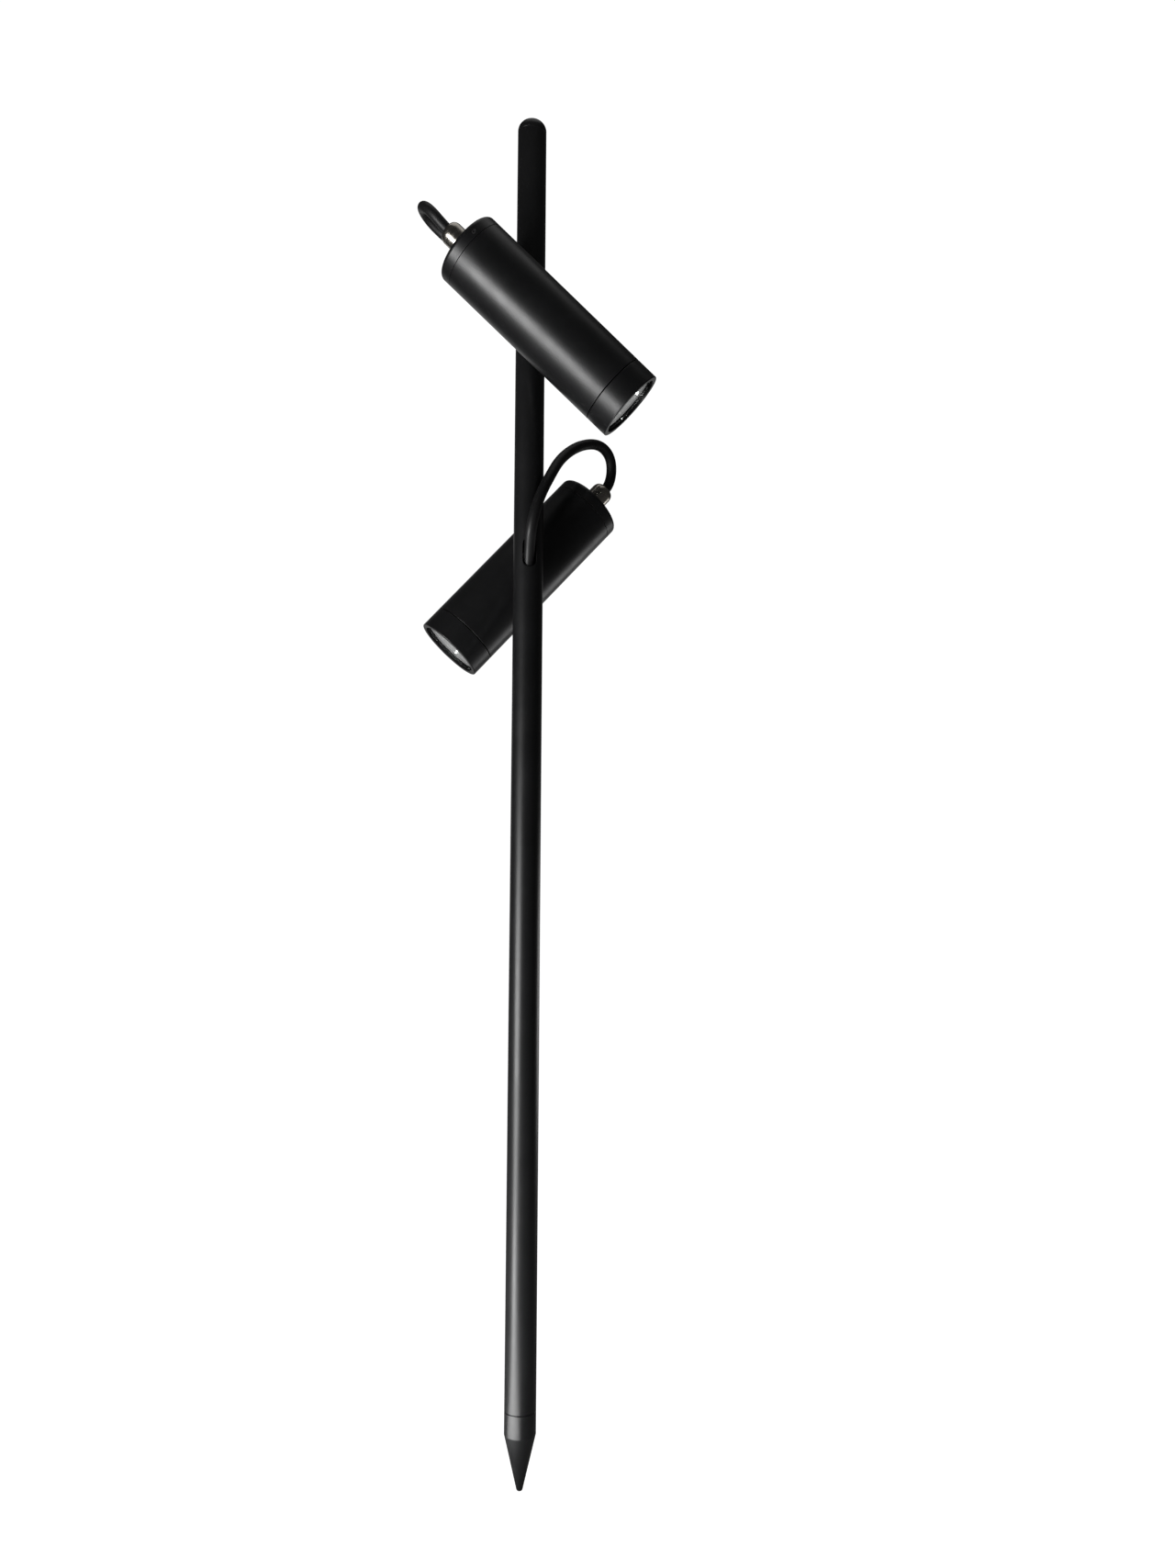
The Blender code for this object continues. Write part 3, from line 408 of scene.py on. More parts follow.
def joined(patches):
    """Grids of points made one surface: corners at the same place are one vertex, and a
    four-cornered face with two corners in one place becomes a triangle. Each corner also keeps
    its place on its grid: the share of the way round, and the distance along in metres."""
    points, faces, places, first = [], [], [], 0
    for grid in patches:
        rows, columns = grid.shape[:2]
        number = first + np.arange(rows * columns).reshape(rows, columns)
        faces.append(np.stack([number[:-1, :-1], number[:-1, 1:], number[1:, 1:],
                               number[1:, :-1]], axis=-1).reshape(-1, 4))
        stride = np.linalg.norm(np.diff(grid, axis=0), axis=2).mean(axis=1)
        along = np.concatenate([[0.0], np.cumsum(stride)])
        across = np.linspace(0.0, 1.0, columns)
        places.append(np.stack(np.meshgrid(across, along), axis=-1).reshape(-1, 2))
        points.append(grid.reshape(-1, 3))
        first += rows * columns
    points, faces, places = np.vstack(points), np.vstack(faces), np.vstack(places)
    _, keep, weld = np.unique(np.round(points / 1e-7).astype(np.int64), axis=0,
                              return_index=True, return_inverse=True)
    return points[keep], weld.reshape(-1)[faces], places[faces]


def mesh_from(name, patches):
    """The joined grids as a mesh with its faces pointing out, smooth between its edges."""
    points, faces, places = joined(patches)
    same = faces == np.roll(faces, -1, axis=1)
    whole = ~same.any(axis=1)
    corners, uv = [faces[whole].reshape(-1)], [places[whole].reshape(-1, 2)]
    sizes = [np.full(whole.sum(), 4)]
    for side in range(4):
        tri = same[:, side] & (same.sum(axis=1) == 1)
        order = [k for k in range(4) if k != side]
        corners.append(faces[tri][:, order].reshape(-1))
        uv.append(places[tri][:, order].reshape(-1, 2))
        sizes.append(np.full(tri.sum(), 3))
    corners, uv, sizes = np.concatenate(corners), np.vstack(uv), np.concatenate(sizes)
    mesh = bpy.data.meshes.new(name)
    mesh.vertices.add(len(points))
    mesh.vertices.foreach_set("co", points.astype(np.float32).reshape(-1))
    mesh.loops.add(len(corners))
    mesh.loops.foreach_set("vertex_index", corners.astype(np.int32))
    mesh.polygons.add(len(sizes))
    mesh.polygons.foreach_set("loop_start", (np.cumsum(sizes) - sizes).astype(np.int32))
    layer = mesh.uv_layers.new(name="surface")
    layer.data.foreach_set("uv", uv.astype(np.float32).reshape(-1))
    mesh.update(calc_edges=True)
    mesh.validate()
    bm = bmesh.new()
    bm.from_mesh(mesh)
    bmesh.ops.recalc_face_normals(bm, faces=bm.faces)
    bm.to_mesh(mesh)
    bm.free()
    mesh.shade_smooth()
    mesh.set_sharp_from_angle(angle=math.radians(38))
    return mesh


def piece(name, patches, axes, finish, body, node):
    """A finished piece: its grids put in place, its finish, and the CAD node it stands for."""
    mesh = mesh_from(name, [axes.out(grid) for grid in patches])
    mesh.materials.append(finish)
    made = bpy.data.objects.new(name, mesh)
    bpy.context.scene.collection.objects.link(made)
    if body:
        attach(made, body)
    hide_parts(node)
    return made


# ---- leads -----------------------------------------------------------------------------
def smooth_route(points, spacing):
    """Points read from a natural cubic spline through a route's own points."""
    nodes = np.array(points, float)
    legs = np.linalg.norm(np.diff(nodes, axis=0), axis=1)
    along = np.concatenate([[0.0], np.cumsum(legs)])
    count = len(nodes)
    system = np.eye(count)
    bends = np.zeros((count, 3))
    for i in range(1, count - 1):
        system[i, i - 1:i + 2] = [legs[i - 1], 2 * (legs[i - 1] + legs[i]), legs[i]]
        slopes = (nodes[i + 1] - nodes[i]) / legs[i] - (nodes[i] - nodes[i - 1]) / legs[i - 1]
        bends[i] = 6 * slopes
    curve = np.linalg.solve(system, bends)
    wanted = np.linspace(0.0, along[-1], round(along[-1] / spacing) + 1)
    k = np.clip(np.searchsorted(along, wanted, side="right") - 1, 0, count - 2)
    leg = legs[k][:, None]
    a = (along[k + 1] - wanted)[:, None] / leg
    b = 1.0 - a
    bow = ((a ** 3 - a) * curve[k] + (b ** 3 - b) * curve[k + 1]) * leg ** 2 / 6
    return a * nodes[k] + b * nodes[k + 1] + bow


def carried_ring(path, radius, columns=28):
    """A ring carried along a path: each point is the path's point plus radius times a unit
    vector that turns about the path's direction. The ring's start is passed on from point to
    point without twist, and both ends close with a small dome."""
    ahead = np.gradient(path, axis=0)
    ahead /= np.linalg.norm(ahead, axis=1)[:, None]
    start = np.cross(ahead[0], (0.0, 0.0, 1.0))
    starts = []
    for direction in ahead:
        start = start - (start @ direction) * direction
        start = start / np.linalg.norm(start)
        starts.append(start)
    starts = np.array(starts)[:, None, :]
    sides = np.cross(ahead[:, None, :], starts)
    angles = np.linspace(0, FULL_TURN, columns + 1)[None, :, None]
    spokes = starts * np.cos(angles) + sides * np.sin(angles)
    walls = path[:, None, :] + radius * spokes
    bulge = 0.25 * radius
    turns = np.linspace(0, math.pi / 2, 4)[:, None, None]
    head = path[0] + radius * np.sin(turns) * spokes[0] - bulge * np.cos(turns) * ahead[0]
    tail = path[-1] + radius * np.cos(turns) * spokes[-1] + bulge * np.sin(turns) * ahead[-1]
    return np.vstack([head[:-1], walls, tail[1:]])


def make_lead(head):
    """The rubber lead, from inside the gland round its loop and down the slot to its joint."""
    # the straight stretch through the gland, measured from the rear of the cap
    straight = (5 * MM, -5 * MM, -12.5 * MM, -GLAND_LENGTH - 1 * MM)
    start = [head.axes.out(np.array((0.0, 0.0, head.rear + station))) for station in straight]
    last = head.route[-1]
    end = (last[0], last[1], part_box(f"{head.name}_junction")[1].z + GAP)
    path = smooth_route(start + list(head.route) + [end], LEAD_STEP)
    lead = piece(f"{head.name}_rubber_lead", [carried_ring(path, LEAD_RADIUS)], POLE, SHEATH,
                 None, f"{head.name}_lead")
    mouth = head.axes.out(np.array((0.0, 0.0, head.rear - GLAND_LENGTH)))
    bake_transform(lead)


for each_head in HEADS:
    make_lead(each_head)


# ---- the pole, its crown and its spike -------------------------------------------------
def obround_reach(direction, half_width, half_straight):
    """Distance from a slot's middle to its edge in each direction: straight sides, half_width
    away, that run half_straight up and down, joined by half circles."""
    across, up = np.abs(np.cos(direction)), np.abs(np.sin(direction))
    to_side = half_width / np.maximum(across, 1e-9)
    to_end = half_straight * up + np.sqrt(
        np.maximum(half_width ** 2 - (half_straight * across) ** 2, 0.0))
    return np.where(half_width * up <= half_straight * across, to_side, to_end)


def on_tube(radius, angle, height):
    """A point of a tube about the third axis; angle 0 is its first axis."""
    return np.stack([radius * np.cos(angle), radius * np.sin(angle), height], axis=-1)


class Window:
    """A hole in a tube's wall inside a window of the wall's grid. The window's frame is walked
    once round, and each of its points is paired with the point of the hole's edge that lies in
    the same direction from the hole's middle. Layers between the two stay on the tube."""

    def __init__(self, radius, heading, half_angle, columns, heights, middle, half_width,
                 half_straight):
        self.heading, self.middle = heading, middle
        self.half_width, self.half_straight = half_width, half_straight
        side = np.linspace(-half_angle, half_angle, columns + 1)
        bottom = np.full(columns, heights[0])
        top = np.full(columns, heights[-1])
        rise = np.full(len(heights) - 1, half_angle)
        self.angle = np.concatenate([side[:-1], rise, side[:0:-1], -rise, side[:1]])
        self.height = np.concatenate([bottom, heights[:-1], top, heights[:0:-1], heights[:1]])
        self.direction = np.arctan2(self.height - middle, radius * self.angle)

    def edge(self, radius, grown):
        """The hole's edge, grown all round, on a tube of this radius, as angle and height."""
        reach = obround_reach(self.direction, self.half_width + grown, self.half_straight)
        across = reach * np.cos(self.direction)
        return np.arcsin(across / radius), self.middle + reach * np.sin(self.direction)

    def layers(self, radius, grown, shares):
        """Layers on one face of the wall, from the hole's edge (share 0) to the window's frame."""
        angle, height = self.edge(radius, grown)
        shares = np.array(shares)[:, None]
        angles = angle * (1 - shares) + self.angle * shares
        heights = height * (1 - shares) + self.height * shares
        return on_tube(radius, self.heading + angles, heights)

    def rim(self, radius, grown):
        """One line of the hole's rounded rim."""
        angle, height = self.edge(radius, grown)
        return on_tube(radius, self.heading + angle, height)[None]


SPREAD = np.linspace(0, 1, 7) ** 1.4          # layers gather near a hole's edge


def through_hole(window, outer, inner, edge):
    """A grid from the inner face, over the rounded rim of the hole, to the outer face."""
    turns = np.radians((30, 60, 90))
    rows = [window.layers(inner, edge, SPREAD[::-1])]
    rows += [window.rim(inner + edge * (1 - math.cos(t)), edge * (1 - math.sin(t))) for t in turns]
    rows += [window.rim(outer - edge * (1 - math.cos(t)), edge * (1 - math.sin(t)))
             for t in turns[::-1]]
    rows += [window.layers(outer, edge, SPREAD)]
    return np.vstack(rows)


def make_pole():
    """The pole's wall: plain bands, and for each hole a window of layers around it."""
    low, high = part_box("pole_tube")
    columns = 48                              # on each half of the tube
    reach = 14                                # of them on each side of a hole
    step = math.pi / columns
    spread = np.linspace(-math.pi / 2, math.pi / 2, columns + 1)
    front, back = -math.pi / 2, math.pi / 2   # headings of the -Y and +Y sides
    half_band, band_rows, plain_rows = 18 * MM, 24, 12
    ends = 1.0 * MM                           # the length kept for each softened end
    slot_middle = (SLOT_TOP + SLOT_BOTTOM) / 2
    slot_straight = (SLOT_TOP - SLOT_BOTTOM - SLOT_WIDTH) / 2
    inlet_low, inlet_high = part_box("inlet_grommet")
    # each band's middle, and by heading its holes: offset, half width and half straight length
    bands = [((inlet_low.z + inlet_high.z) / 2, {back: (0.0, INLET_HOLE, 0.0)})]
    for head in reversed(HEADS):
        facing = front if head.axes.origin[1] < 0 else back
        bands.append((head.pivot[2], {
            facing: (0.0, BOLT_HOLE, 0.0),
            -facing: (slot_middle, SLOT_WIDTH / 2, slot_straight)}))
    patches = []

    def plain(start, stop, heading, rows, angles=spread):
        heights = np.linspace(start, stop, rows + 1)
        for radius in (POLE_RADIUS, POLE_BORE):
            grid = np.meshgrid(heading + angles, heights)
            patches.append(on_tube(radius, *grid))

    level = low.z + ends
    for middle, holes in bands:
        heights = np.linspace(middle - half_band, middle + half_band, band_rows + 1)
        for heading in (front, back):
            plain(level, heights[0], heading, plain_rows)
            if heading in holes:
                offset, half_width, half_straight = holes[heading]
                window = Window(POLE_RADIUS, heading, reach * step, 2 * reach, heights,
                                middle + offset, half_width, half_straight)
                patches.append(through_hole(window, POLE_RADIUS, POLE_BORE, EDGE))
                beside = spread[:columns // 2 - reach + 1]
                plain(heights[0], heights[-1], heading, band_rows, beside)
                plain(heights[0], heights[-1], heading, band_rows, -beside)
            else:
                plain(heights[0], heights[-1], heading, band_rows)
        level = heights[-1]
    for heading in (front, back):
        plain(level, high.z - ends, heading, plain_rows)
    for inside, face in ((low.z + ends, low.z), (high.z - ends, high.z)):
        outline = rounded([(POLE_RADIUS, inside, 0), (POLE_RADIUS, face, EDGE),
                           (POLE_BORE, face, EDGE), (POLE_BORE, inside, 0)], steps=3)
        patches.append(turned(outline, 2 * columns))
    piece("pole_wall", patches, POLE, COAT, "pole", "pole_tube")


def make_crown():
    """The domed plug: a quarter of an ellipse over a short spigot with its O-ring's groove."""
    low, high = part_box("top_plug")
    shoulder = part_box("pole_tube")[1].z + GAP
    dome_height = 8.7 * MM
    rim = high.z - dome_height
    turns = np.linspace(0, math.pi / 2, 25)
    dome = np.stack([POLE_RADIUS * np.sin(turns), rim + (high.z - rim) * np.cos(turns)], axis=1)
    seal_low, seal_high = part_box("top_plug_seal")
    middle, groove, half = (seal_low.z + seal_high.z) / 2, 7.9 * MM, 1.2 * MM
    stem = rounded([
        (POLE_RADIUS, rim, 0), (POLE_RADIUS, shoulder, EDGE), (SPIGOT_RADIUS, shoulder, 0),
        (SPIGOT_RADIUS, middle + half, EDGE), (groove, middle + half, 0),
        (groove, middle - half, 0), (SPIGOT_RADIUS, middle - half, EDGE),
        (SPIGOT_RADIUS, low.z, 0.5 * MM), (0.0, low.z, 0)], steps=3)
    piece("pole_crown", [turned(np.vstack([dome, stem[1:]]))], POLE, COAT, "pole",
          "top_plug")


def make_spike():
    """The spike: a short shank, a cone and a blunt rounded point, bored for its stud."""
    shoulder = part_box("pole_tube")[0].z - GAP
    register, bore, floor = shoulder + 3 * MM, 5.3 * MM, 39 * MM
    cone_top, tip_radius, tip_fillet = 37 * MM, 1.7 * MM, 1.3 * MM
    outline = rounded([
        (0.0, floor, 0), (bore, floor, 0), (bore, register, EDGE),
        (SPIGOT_RADIUS, register, EDGE), (SPIGOT_RADIUS, shoulder, 0),
        (POLE_RADIUS, shoulder, EDGE), (POLE_RADIUS, cone_top, 1.2 * MM),
        (tip_radius + EDGE, 0.0, tip_fillet), (0.0, 0.0, 0)], steps=6)
    piece("ground_point", [turned(outline)], POLE, COAT, "pole", "ground_spike")


def make_grommet():
    """The blind grommet on the pole's back: a barb inside, a neck and a soft round lip."""
    low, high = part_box("inlet_grommet")
    outward = Axes((0, 0, (low.z + high.z) / 2), (1, 0, 0), (0, 0, -1), (0, 1, 0))
    lip, neck, barb, barb_end = 6 * MM, 4 * MM, 5 * MM, 7.6 * MM
    face, back = high.y, POLE_RADIUS + GAP
    outline = rounded([
        (0.0, low.y, 0), (barb, low.y, 0.5 * MM), (barb, barb_end, EDGE), (neck, barb_end, 0),
        (neck, back, 0), (lip, back, 0.4 * MM), (lip, face, 0.8 * MM),
        (2.6 * MM, face, 0.6 * MM), (2.2 * MM, face - 0.5 * MM, 0.3 * MM),
        (0.0, face - 0.6 * MM, 0)], steps=4)
    piece("supply_grommet", [turned(outline, 56)], outward, GROMMET_RUBBER,
          "pole", "inlet_grommet")


# ---- swivel ----------------------------------------------------------------------------
def seated(outline, columns, seat):
    """A turned ring whose points can follow a seat. Its outline is (radius, distance, share):
    each point is that share of the way from its own distance to the seat's distance, where
    seat gives the distance for any place (first, second) across the swivel."""
    angles = np.linspace(0, FULL_TURN, columns + 1)
    radius, distance, share = (outline[:, k][:, None] for k in range(3))
    first, second = radius * np.cos(angles), radius * np.sin(angles)
    out = distance * (1 - share) + seat(first, second) * share
    return np.stack([first, second, out], axis=-1)


def ring_with_seat(flat, toward_seat, seat, bore, columns=64):
    """A short ring with a flat, softened end and an end shaped to what it sits on."""
    edge = 0.5 * MM * toward_seat
    turns = np.radians(np.linspace(0, 90, 5))
    soft = np.stack([SWIVEL_RADIUS - abs(edge) * (1 - np.sin(turns)),
                     flat + edge * (1 - np.cos(turns))], axis=1)
    free = np.column_stack([soft, np.zeros(len(soft))])
    start = [(bore, flat, 0.0)]
    wall = [(SWIVEL_RADIUS, flat, s) for s in (0.5, 0.98, 1.0)]
    back = [(bore, flat, s) for s in (1.0, 0.98, 0.02, 0.0)]
    outline = np.array(start + free.tolist() + wall + back)
    return seated(outline, columns, seat)


def key_socket(face, inward, mouth, key, lead_in, floor):
    """A hexagonal socket sunk in a screw's flat face: the ring of face around it with its six
    walls, then its floor. Floor points are (radius, depth) from the walls to the middle, and
    they start wider than the hexagon, whose flats hold them in."""
    floor = np.array(floor)
    wide, depth = floor[0]
    floor[:, 1] = face + inward * floor[:, 1]
    ring = turned(np.array([(mouth, face), (mouth, face)]), SCREW_COLUMNS)
    walls = np.array([(wide, face), (wide, face + inward * lead_in),
                      (wide, face + inward * depth)])
    return [np.vstack([ring[:1], turned(walls, SCREW_COLUMNS, 6, key)]),
            turned(floor, SCREW_COLUMNS, 6, key)]


def make_swivel(head):
    """Pole saddle, friction washer, boss and the socket-head bolt of one swivel."""
    n = head.name
    low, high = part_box(f"{n}_swivel_bolt")

    def pole_seat(across, up):
        return np.sqrt((POLE_RADIUS + GAP) ** 2 - across ** 2)

    def lamp_seat(along, over):
        return head.distance - np.sqrt((LAMP_RADIUS + GAP) ** 2 - over ** 2)

    saddle = ring_with_seat(SADDLE_FACE, -1, pole_seat, BOLT_HOLE)
    piece(f"{n}_saddle", [saddle], head.mount, COAT, "pole",
          f"{n}_pole_saddle")
    outline = rounded([
        (BOLT_HOLE, WASHER_FACE, 0.1 * MM), (SWIVEL_RADIUS, WASHER_FACE, 0.15 * MM),
        (SWIVEL_RADIUS, WASHER_BACK, 0.15 * MM), (BOLT_HOLE, WASHER_BACK, 0.1 * MM)],
        closed=True, steps=3)
    piece(f"{n}_washer", [turned(outline, 64)], head.mount, NYLON, "pole",
          f"{n}_friction_washer")
    boss = ring_with_seat(BOSS_FACE, 1, lamp_seat, BOLT_HOLE)
    piece(f"{n}_boss", [boss], head.swivel, COAT, head.body,
          f"{n}_swivel_boss")

    shank, tip = 3 * MM, max(abs(low.y), abs(high.y))
    head_radius, head_face, mouth, key = 4.8 * MM, 5 * MM, 3.3 * MM, 2.5 * MM
    body = rounded([
        (0.0, tip, 0), (shank, tip, 0.5 * MM), (shank, head_face, 0.2 * MM),
        (head_radius, head_face, EDGE), (head_radius, 0.0, 0.5 * MM), (mouth, 0.0, 0)], steps=4)
    floor = ((4 * MM, 3 * MM), (2 * MM, 3.2 * MM), (0.0, 3.8 * MM))
    piece(f"{n}_bolt", [turned(body, SCREW_COLUMNS),
                        *key_socket(0.0, 1, mouth, key, 0.3 * MM, floor)],
          head.swivel, STEEL, head.body, f"{n}_swivel_bolt")


# ---- lamp heads ------------------------------------------------------------------------
def make_barrel(head):
    """The barrel, with the stepped nose inside the bezel and soft edges at both joints."""
    shoulder = head.front - BEZEL_LENGTH - GAP
    nose = head.front - NOSE_DEPTH
    back = head.rear + CAP_LENGTH + GAP / 2
    outline = rounded([
        (NOSE_RADIUS, nose, EDGE), (NOSE_RADIUS, shoulder, 0), (LAMP_RADIUS, shoulder, EDGE),
        (LAMP_RADIUS, back, SEAM_EDGE), (LAMP_BORE, back, EDGE), (LAMP_BORE, nose, EDGE)],
        closed=True)
    piece(f"{head.name}_barrel", [turned(outline, 128)], head.axes, COAT,
          head.body, f"{head.name}_housing")


def make_bezel(head):
    """The screwed front ring: a flat face, a short lip over the glass, and the glass's seat."""
    front = head.front
    back = front - BEZEL_LENGTH + GAP
    opening, seat, skirt = 23.3 * MM, 24.2 * MM, 25.2 * MM
    lip, step = front - 1.8 * MM, front - 7.9 * MM
    outline = rounded([
        (LAMP_RADIUS, front, 0.6 * MM), (LAMP_RADIUS, back, EDGE), (skirt, back, EDGE),
        (skirt, step, 0), (seat, step, EDGE), (seat, lip, 0), (opening, lip, EDGE),
        (opening, front, 0.4 * MM)], closed=True)
    piece(f"{head.name}_bezel", [turned(outline, 128)], head.axes, COAT,
          head.body, f"{head.name}_front_bezel")


def make_optics(head):
    """Glass, reflector and emitter. The cup is a parabola: its radius squared falls evenly
    with its depth."""
    n, front = head.name, head.front
    face, back = front - GLASS_FACE, front - GLASS_BACK
    glass = rounded([(0.0, face, 0), (GLASS_RADIUS, face, 0.4 * MM),
                     (GLASS_RADIUS, back, 0.4 * MM), (0.0, back, 0)])
    piece(f"{n}_glass", [turned(glass, 128)], head.axes, GLASS, head.body,
          f"{n}_lens")

    mouth, throat, depth, top = 21 * MM, 7.6 * MM, 22.9 * MM, front - 8.4 * MM
    wall, flange, flange_back = 0.9 * MM, 22.6 * MM, top - 1.2 * MM
    share = np.linspace(0, 1, 25)
    radius = np.sqrt(throat ** 2 + (mouth ** 2 - throat ** 2) * (1 - share))
    inside = np.stack([radius, top - depth * share], axis=1)
    skin = np.stack([radius + wall, top - depth * share], axis=1)
    rim = rounded([(mouth, top, 0), (flange, top, 0.2 * MM), (flange, flange_back, 0.2 * MM),
                   (mouth + wall, flange_back, 0)], steps=3)
    outside = skin[skin[:, 1] < flange_back - 0.05 * MM]
    outline = np.vstack([inside[::-1], rim[1:], outside, inside[-1:]])
    piece(f"{n}_cup", [turned(outline, 96)], head.axes, CUP, head.body,
          f"{n}_reflector")

    low, high, gel_radius = front - 32.7 * MM, front - 31.7 * MM, 6.5 * MM
    gel = rounded([(0.0, high, 0), (gel_radius, high - 0.15 * MM, 0.35 * MM),
                   (gel_radius, low, 0.1 * MM), (0.0, low, 0)], steps=4)
    piece(f"{n}_emitter", [turned(gel, 64)], head.axes, GEL, head.body,
          f"{n}_led_emitter")


def make_back_cap(head):
    """The rounded cap. Its side wall has a window for the grub screw's pocket."""
    n, rear = head.name, head.rear
    seam = rear + CAP_LENGTH - GAP / 2
    plug, plug_radius, inside = seam + 6 * MM, LAMP_BORE - GAP, 19.5 * MM
    middle, groove = seam + 3.2 * MM, LAMP_BORE - GAP - 1.4 * MM
    half = 1.1 * MM
    window_low, window_high = rear + CAP_ROUNDING + 0.02 * MM, seam - 2 * EDGE
    columns, window_columns = 64, 8           # half of the way round, and the whole window
    before = rounded([
        (inside, plug, EDGE), (plug_radius, plug, EDGE), (plug_radius, middle + half, EDGE),
        (groove, middle + half, 0), (groove, middle - half, 0),
        (plug_radius, middle - half, EDGE), (plug_radius, seam, 0), (LAMP_RADIUS, seam, SEAM_EDGE),
        (LAMP_RADIUS, window_high, 0)], steps=4)
    turns = np.linspace(0, math.pi / 2, 13)
    round_edge = np.stack([LAMP_RADIUS - CAP_ROUNDING * (1 - np.cos(turns)),
                           rear + CAP_ROUNDING * (1 - np.sin(turns))], axis=1)
    gland_hole, floor = 6.3 * MM, rear + 3 * MM
    after = rounded([
        (round_edge[-1, 0], rear, 0), (gland_hole, rear, EDGE), (gland_hole, floor, EDGE),
        (inside, floor, 1 * MM), (inside, plug, EDGE), (plug_radius, plug, 0)], steps=4)[:-1]
    heading = math.pi                         # away from the pole
    heights = np.linspace(window_low, window_high, 9)
    reach = window_columns / 2 * math.pi / columns
    hole, depth, edge = 1.62 * MM, 5.8 * MM, 0.15 * MM
    pocket = Window(LAMP_RADIUS, heading, reach, window_columns, heights,
                    rear + CAP_SCREW_STATION, hole, 0.0)
    bottom = LAMP_RADIUS - depth
    rows = [pocket.rim(bottom, -hole + 1e-6), pocket.rim(bottom, 0.0)]
    rows += [pocket.rim(LAMP_RADIUS - edge * (1 - math.cos(t)), edge * (1 - math.sin(t)))
             for t in np.radians((90, 60, 30))]
    rows += [pocket.layers(LAMP_RADIUS, edge, SPREAD)]
    spread = np.linspace(reach, FULL_TURN - reach, 2 * columns - window_columns + 1)
    plain = on_tube(LAMP_RADIUS, *np.meshgrid(heading + spread, heights))

    def spun(profile):
        angles = heading + np.linspace(0, FULL_TURN, 2 * columns + 1)
        radius, height = profile[:, :1], profile[:, 1:]
        return on_tube(radius, angles[None], np.repeat(height, 2 * columns + 1, axis=1))

    patches = [spun(before), np.vstack(rows), plain,
               spun(np.vstack([[(LAMP_RADIUS, window_low)], round_edge])), spun(after)]
    piece(f"{n}_back_cap", patches, head.axes, COAT, head.body, f"{n}_rear_cap")

    outward, along = -head.axes.rows[0], head.axes.rows[2]
    screw_axes = Axes(head.axes.out(np.array((0, 0, rear + CAP_SCREW_STATION))), along,
                      np.cross(outward, along), outward)
    top, length, radius = LAMP_RADIUS - 0.4 * MM, 5.2 * MM, 1.5 * MM
    mouth, key = 1.0 * MM, 0.75 * MM
    body = rounded([(0.0, top - length, 0), (radius, top - length, 0.3 * MM),
                    (radius, top, 0.2 * MM), (mouth, top, 0)], steps=4)
    floor = ((2 * MM, 2 * MM), (0.0, 2.2 * MM))
    piece(f"{n}_grub_screw", [turned(body, SCREW_COLUMNS),
                              *key_socket(top, -1, mouth, key, 0.2 * MM, floor)],
          screw_axes, STEEL, head.body, f"{n}_cap_screw")


def make_gland(head):
    """The cable gland: a hexagon collar with chamfered corners on a threaded body, and the
    domed nut, whose crown is a quarter of an ellipse."""
    n, rear = head.name, head.rear
    front = rear - GAP
    back = front - 4.5 * MM
    corner, flat = 9.8 * MM, 9.8 * MM * math.cos(math.pi / 6)
    chamfer = (corner - flat) * 1.25
    slope, straight = 0.58 * chamfer, 0.3 * MM
    thread, end, inner_end = 6.7 * MM, rear - 13.2 * MM, rear + 4.5 * MM
    counterbore, floor, neck = 5.9 * MM, rear - 9 * MM, 6 * MM
    pitch, groove, thread_start = 1.5 * MM, 0.3 * MM, back - 0.4 * MM
    turns = np.arange(0, int((thread_start - end) / pitch * 6) + 1)
    ridge = np.stack([thread - groove * (0.5 - 0.5 * np.cos(turns * FULL_TURN / 6)),
                      thread_start - turns * pitch / 6], axis=1)
    outline = np.vstack([
        [(LEAD_BORE, inner_end), (neck, inner_end), (neck, front), (corner - chamfer, front)],
        [(corner, front - slope), (corner, front - slope - straight)],
        [(corner, back + slope + straight), (corner, back + slope), (corner - chamfer, back)],
        [(thread, back)], ridge, [(thread - groove, end), (counterbore, end),
                                  (counterbore, floor), (LEAD_BORE, floor),
                                  (LEAD_BORE, inner_end)]])
    piece(f"{n}_gland_collar", [turned(outline, 120, 6, flat)], head.axes, NICKEL,
          head.body, f"{n}_gland_body")

    nut, mouth, crown = 8.6 * MM, 5.2 * MM, 5.2 * MM
    nut_front, nut_back = back - GAP, rear - GLAND_LENGTH
    roof, nut_bore = end - GAP, thread + GAP
    lean = np.linspace(0, math.pi / 2 - 0.25, 14)
    dome = np.stack([mouth + (nut - mouth) * np.cos(lean),
                     nut_back + crown * (1 - np.sin(lean))], axis=1)
    lip = rounded([tuple(dome[-1]) + (0,), (mouth - 0.1 * MM, nut_back, 0.12 * MM),
                   (LEAD_BORE, nut_back, 0.25 * MM), (LEAD_BORE, roof, 0)], steps=4)
    base = rounded([(nut_bore, roof, 0), (nut_bore, nut_front, 0.3 * MM),
                    (nut, nut_front, 0.5 * MM), (nut, nut_back + crown, 0)], steps=4)
    outline = np.vstack([base, dome[1:], lip[1:], base[:1]])
    piece(f"{n}_gland_dome", [turned(outline, 120)], head.axes, NICKEL, head.body,
          f"{n}_gland_nut")


make_pole()
make_crown()
make_spike()
make_grommet()
for each_head in HEADS:
    make_swivel(each_head)
    make_barrel(each_head)
    make_bezel(each_head)
    make_optics(each_head)
    make_back_cap(each_head)
    make_gland(each_head)


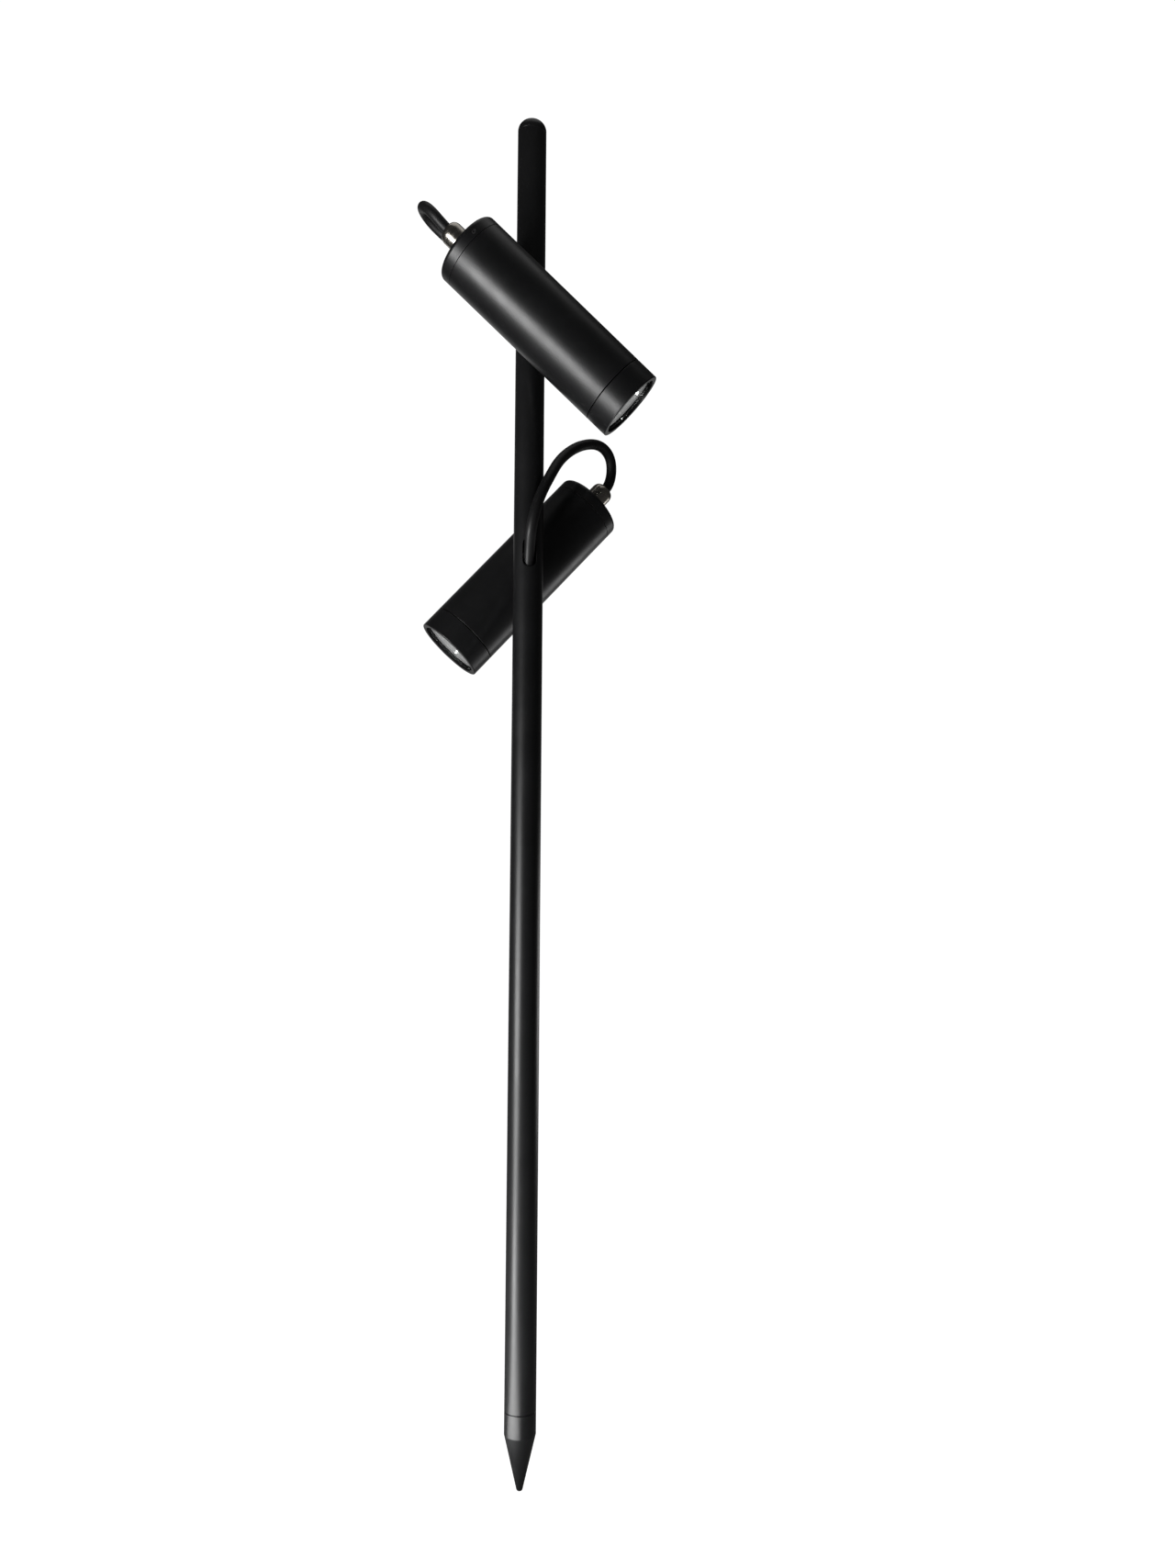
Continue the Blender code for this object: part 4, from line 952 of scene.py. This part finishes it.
# ---- finishes of the pieces that stay as they are --------------------------------------
INNER_FINISHES = {
    "top_plug_seal": SILICONE, "spike_socket": ALUMINIUM, "spike_stud": STEEL,
    "terminal_block": NYLON, "feed_cable": GROMMET_RUBBER, "link_cable": GROMMET_RUBBER,
    "inner_saddle_washer": STEEL, "spring_washer": STEEL, "junction": POTTING,
    "lens_gasket": SILICONE, "led_board": SOLDER_MASK, "board_screw_1": STEEL,
    "board_screw_2": STEEL, "heat_sink": ALUMINIUM, "driver": POTTING,
    "cap_seal": SILICONE, "gland_seal": SILICONE,
}
for node_name, node in frame["nodes"].items():
    plain_name = node_name.removeprefix("upper_").removeprefix("lower_")
    if plain_name in INNER_FINISHES:
        if not node.material_slots:
            node.data.materials.append(None)
        for each_slot in node.material_slots:
            each_slot.material = INNER_FINISHES[plain_name]


# ---- studio ----------------------------------------------------------------------------
def make_floor():
    """A wide pale floor just under the spike's point."""
    half, below, grey = 6.0, 0.5 * MM, 0.6
    mesh = bpy.data.meshes.new("floor")
    corners = [(-half, -half, -below), (half, -half, -below), (half, half, -below),
               (-half, half, -below)]
    mesh.from_pydata(corners, [], [(0, 1, 2, 3)])
    pale = bpy.data.materials.new("pale floor")
    pale.use_nodes = True
    tree = pale.node_tree
    shader = tree.nodes["Principled BSDF"]
    shader.inputs["Base Color"].default_value = (grey, grey, grey, 1.0)
    shader.inputs["Roughness"].default_value = 0.9
    shader.inputs["Specular IOR Level"].default_value = 0.0
    seen = tree.nodes.new("ShaderNodeLightPath").outputs["Is Camera Ray"]
    shader.inputs["Emission Color"].default_value = (1.0, 1.0, 1.0, 1.0)
    tree.links.new(seen, shader.inputs["Emission Strength"])
    mesh.materials.append(pale)
    floor = bpy.data.objects.new("floor", mesh)
    bpy.context.scene.collection.objects.link(floor)


def make_surroundings():
    """White behind everything for the eye; for light, a dim room that is brighter behind."""
    world = bpy.data.worlds.new("studio")
    bpy.context.scene.world = world
    world.use_nodes = True
    tree = world.node_tree
    tree.nodes.clear()
    output = tree.nodes.new("ShaderNodeOutputWorld")
    mix = tree.nodes.new("ShaderNodeMixShader")
    seen = tree.nodes.new("ShaderNodeLightPath").outputs["Is Camera Ray"]
    white = tree.nodes.new("ShaderNodeBackground")
    white.inputs["Color"].default_value = (1.0, 1.0, 1.0, 1.0)
    white.inputs["Strength"].default_value = 1.05
    room = tree.nodes.new("ShaderNodeBackground")
    split = tree.nodes.new("ShaderNodeSeparateXYZ")
    tree.links.new(tree.nodes.new("ShaderNodeTexCoord").outputs["Generated"],
                   split.inputs["Vector"])
    level = tree.nodes.new("ShaderNodeMapRange")
    level.interpolation_type = "SMOOTHSTEP"
    for socket, value in zip(("From Min", "From Max", "To Min", "To Max"), (0.7, 1.0, 0.04, 0.7)):
        level.inputs[socket].default_value = value
    tree.links.new(split.outputs["Y"], level.inputs["Value"])
    tree.links.new(level.outputs["Result"], room.inputs["Strength"])
    tree.links.new(seen, mix.inputs["Fac"])
    tree.links.new(room.outputs["Background"], mix.inputs[1])
    tree.links.new(white.outputs["Background"], mix.inputs[2])
    tree.links.new(mix.outputs["Shader"], output.inputs["Surface"])


def softbox(name, place, aim, width, height, watts):
    """A rectangular soft light at one place, aimed at another."""
    data = bpy.data.lights.new(name, "AREA")
    data.shape = "RECTANGLE"
    data.size, data.size_y = width, height
    data.energy = watts
    lamp = bpy.data.objects.new(name, data)
    bpy.context.scene.collection.objects.link(lamp)
    back = np.array(place, float) - np.array(aim, float)
    back /= np.linalg.norm(back)
    side = np.cross((0.0, 0.0, 1.0), back)
    side /= np.linalg.norm(side)
    turn = np.eye(4)
    turn[:3, 0], turn[:3, 1], turn[:3, 2] = side, np.cross(back, side), back
    turn[:3, 3] = place
    lamp.matrix_world = Matrix(turn.tolist())


# each light's name, place, aim, width, height and watts
SOFTBOXES = [
    ("low left softbox", (-1.12, -0.76, 0.20), (0.0, -0.05, 0.78), 0.75, 0.40, 16),
    ("foot softbox", (-0.34, -0.20, 0.04), (0.0, 0.0, 0.12), 0.15, 0.07, 0.6),
    ("floor softbox", (-0.172, -0.129, 0.001), (-0.164, -0.123, 1.0), 0.16, 0.41, 1.8),
    ("right rim softbox", (0.95, 0.65, 0.25), (0.05, 0.0, 0.65), 0.4, 0.4, 1.2),
    ("top softbox", (0.1, -0.1, 2.2), (0.0, 0.0, 0.5), 1.2, 1.2, 2.5),
]
make_floor()
make_surroundings()
for softbox_values in SOFTBOXES:
    softbox(*softbox_values)
bpy.context.scene.view_settings.view_transform = "Standard"
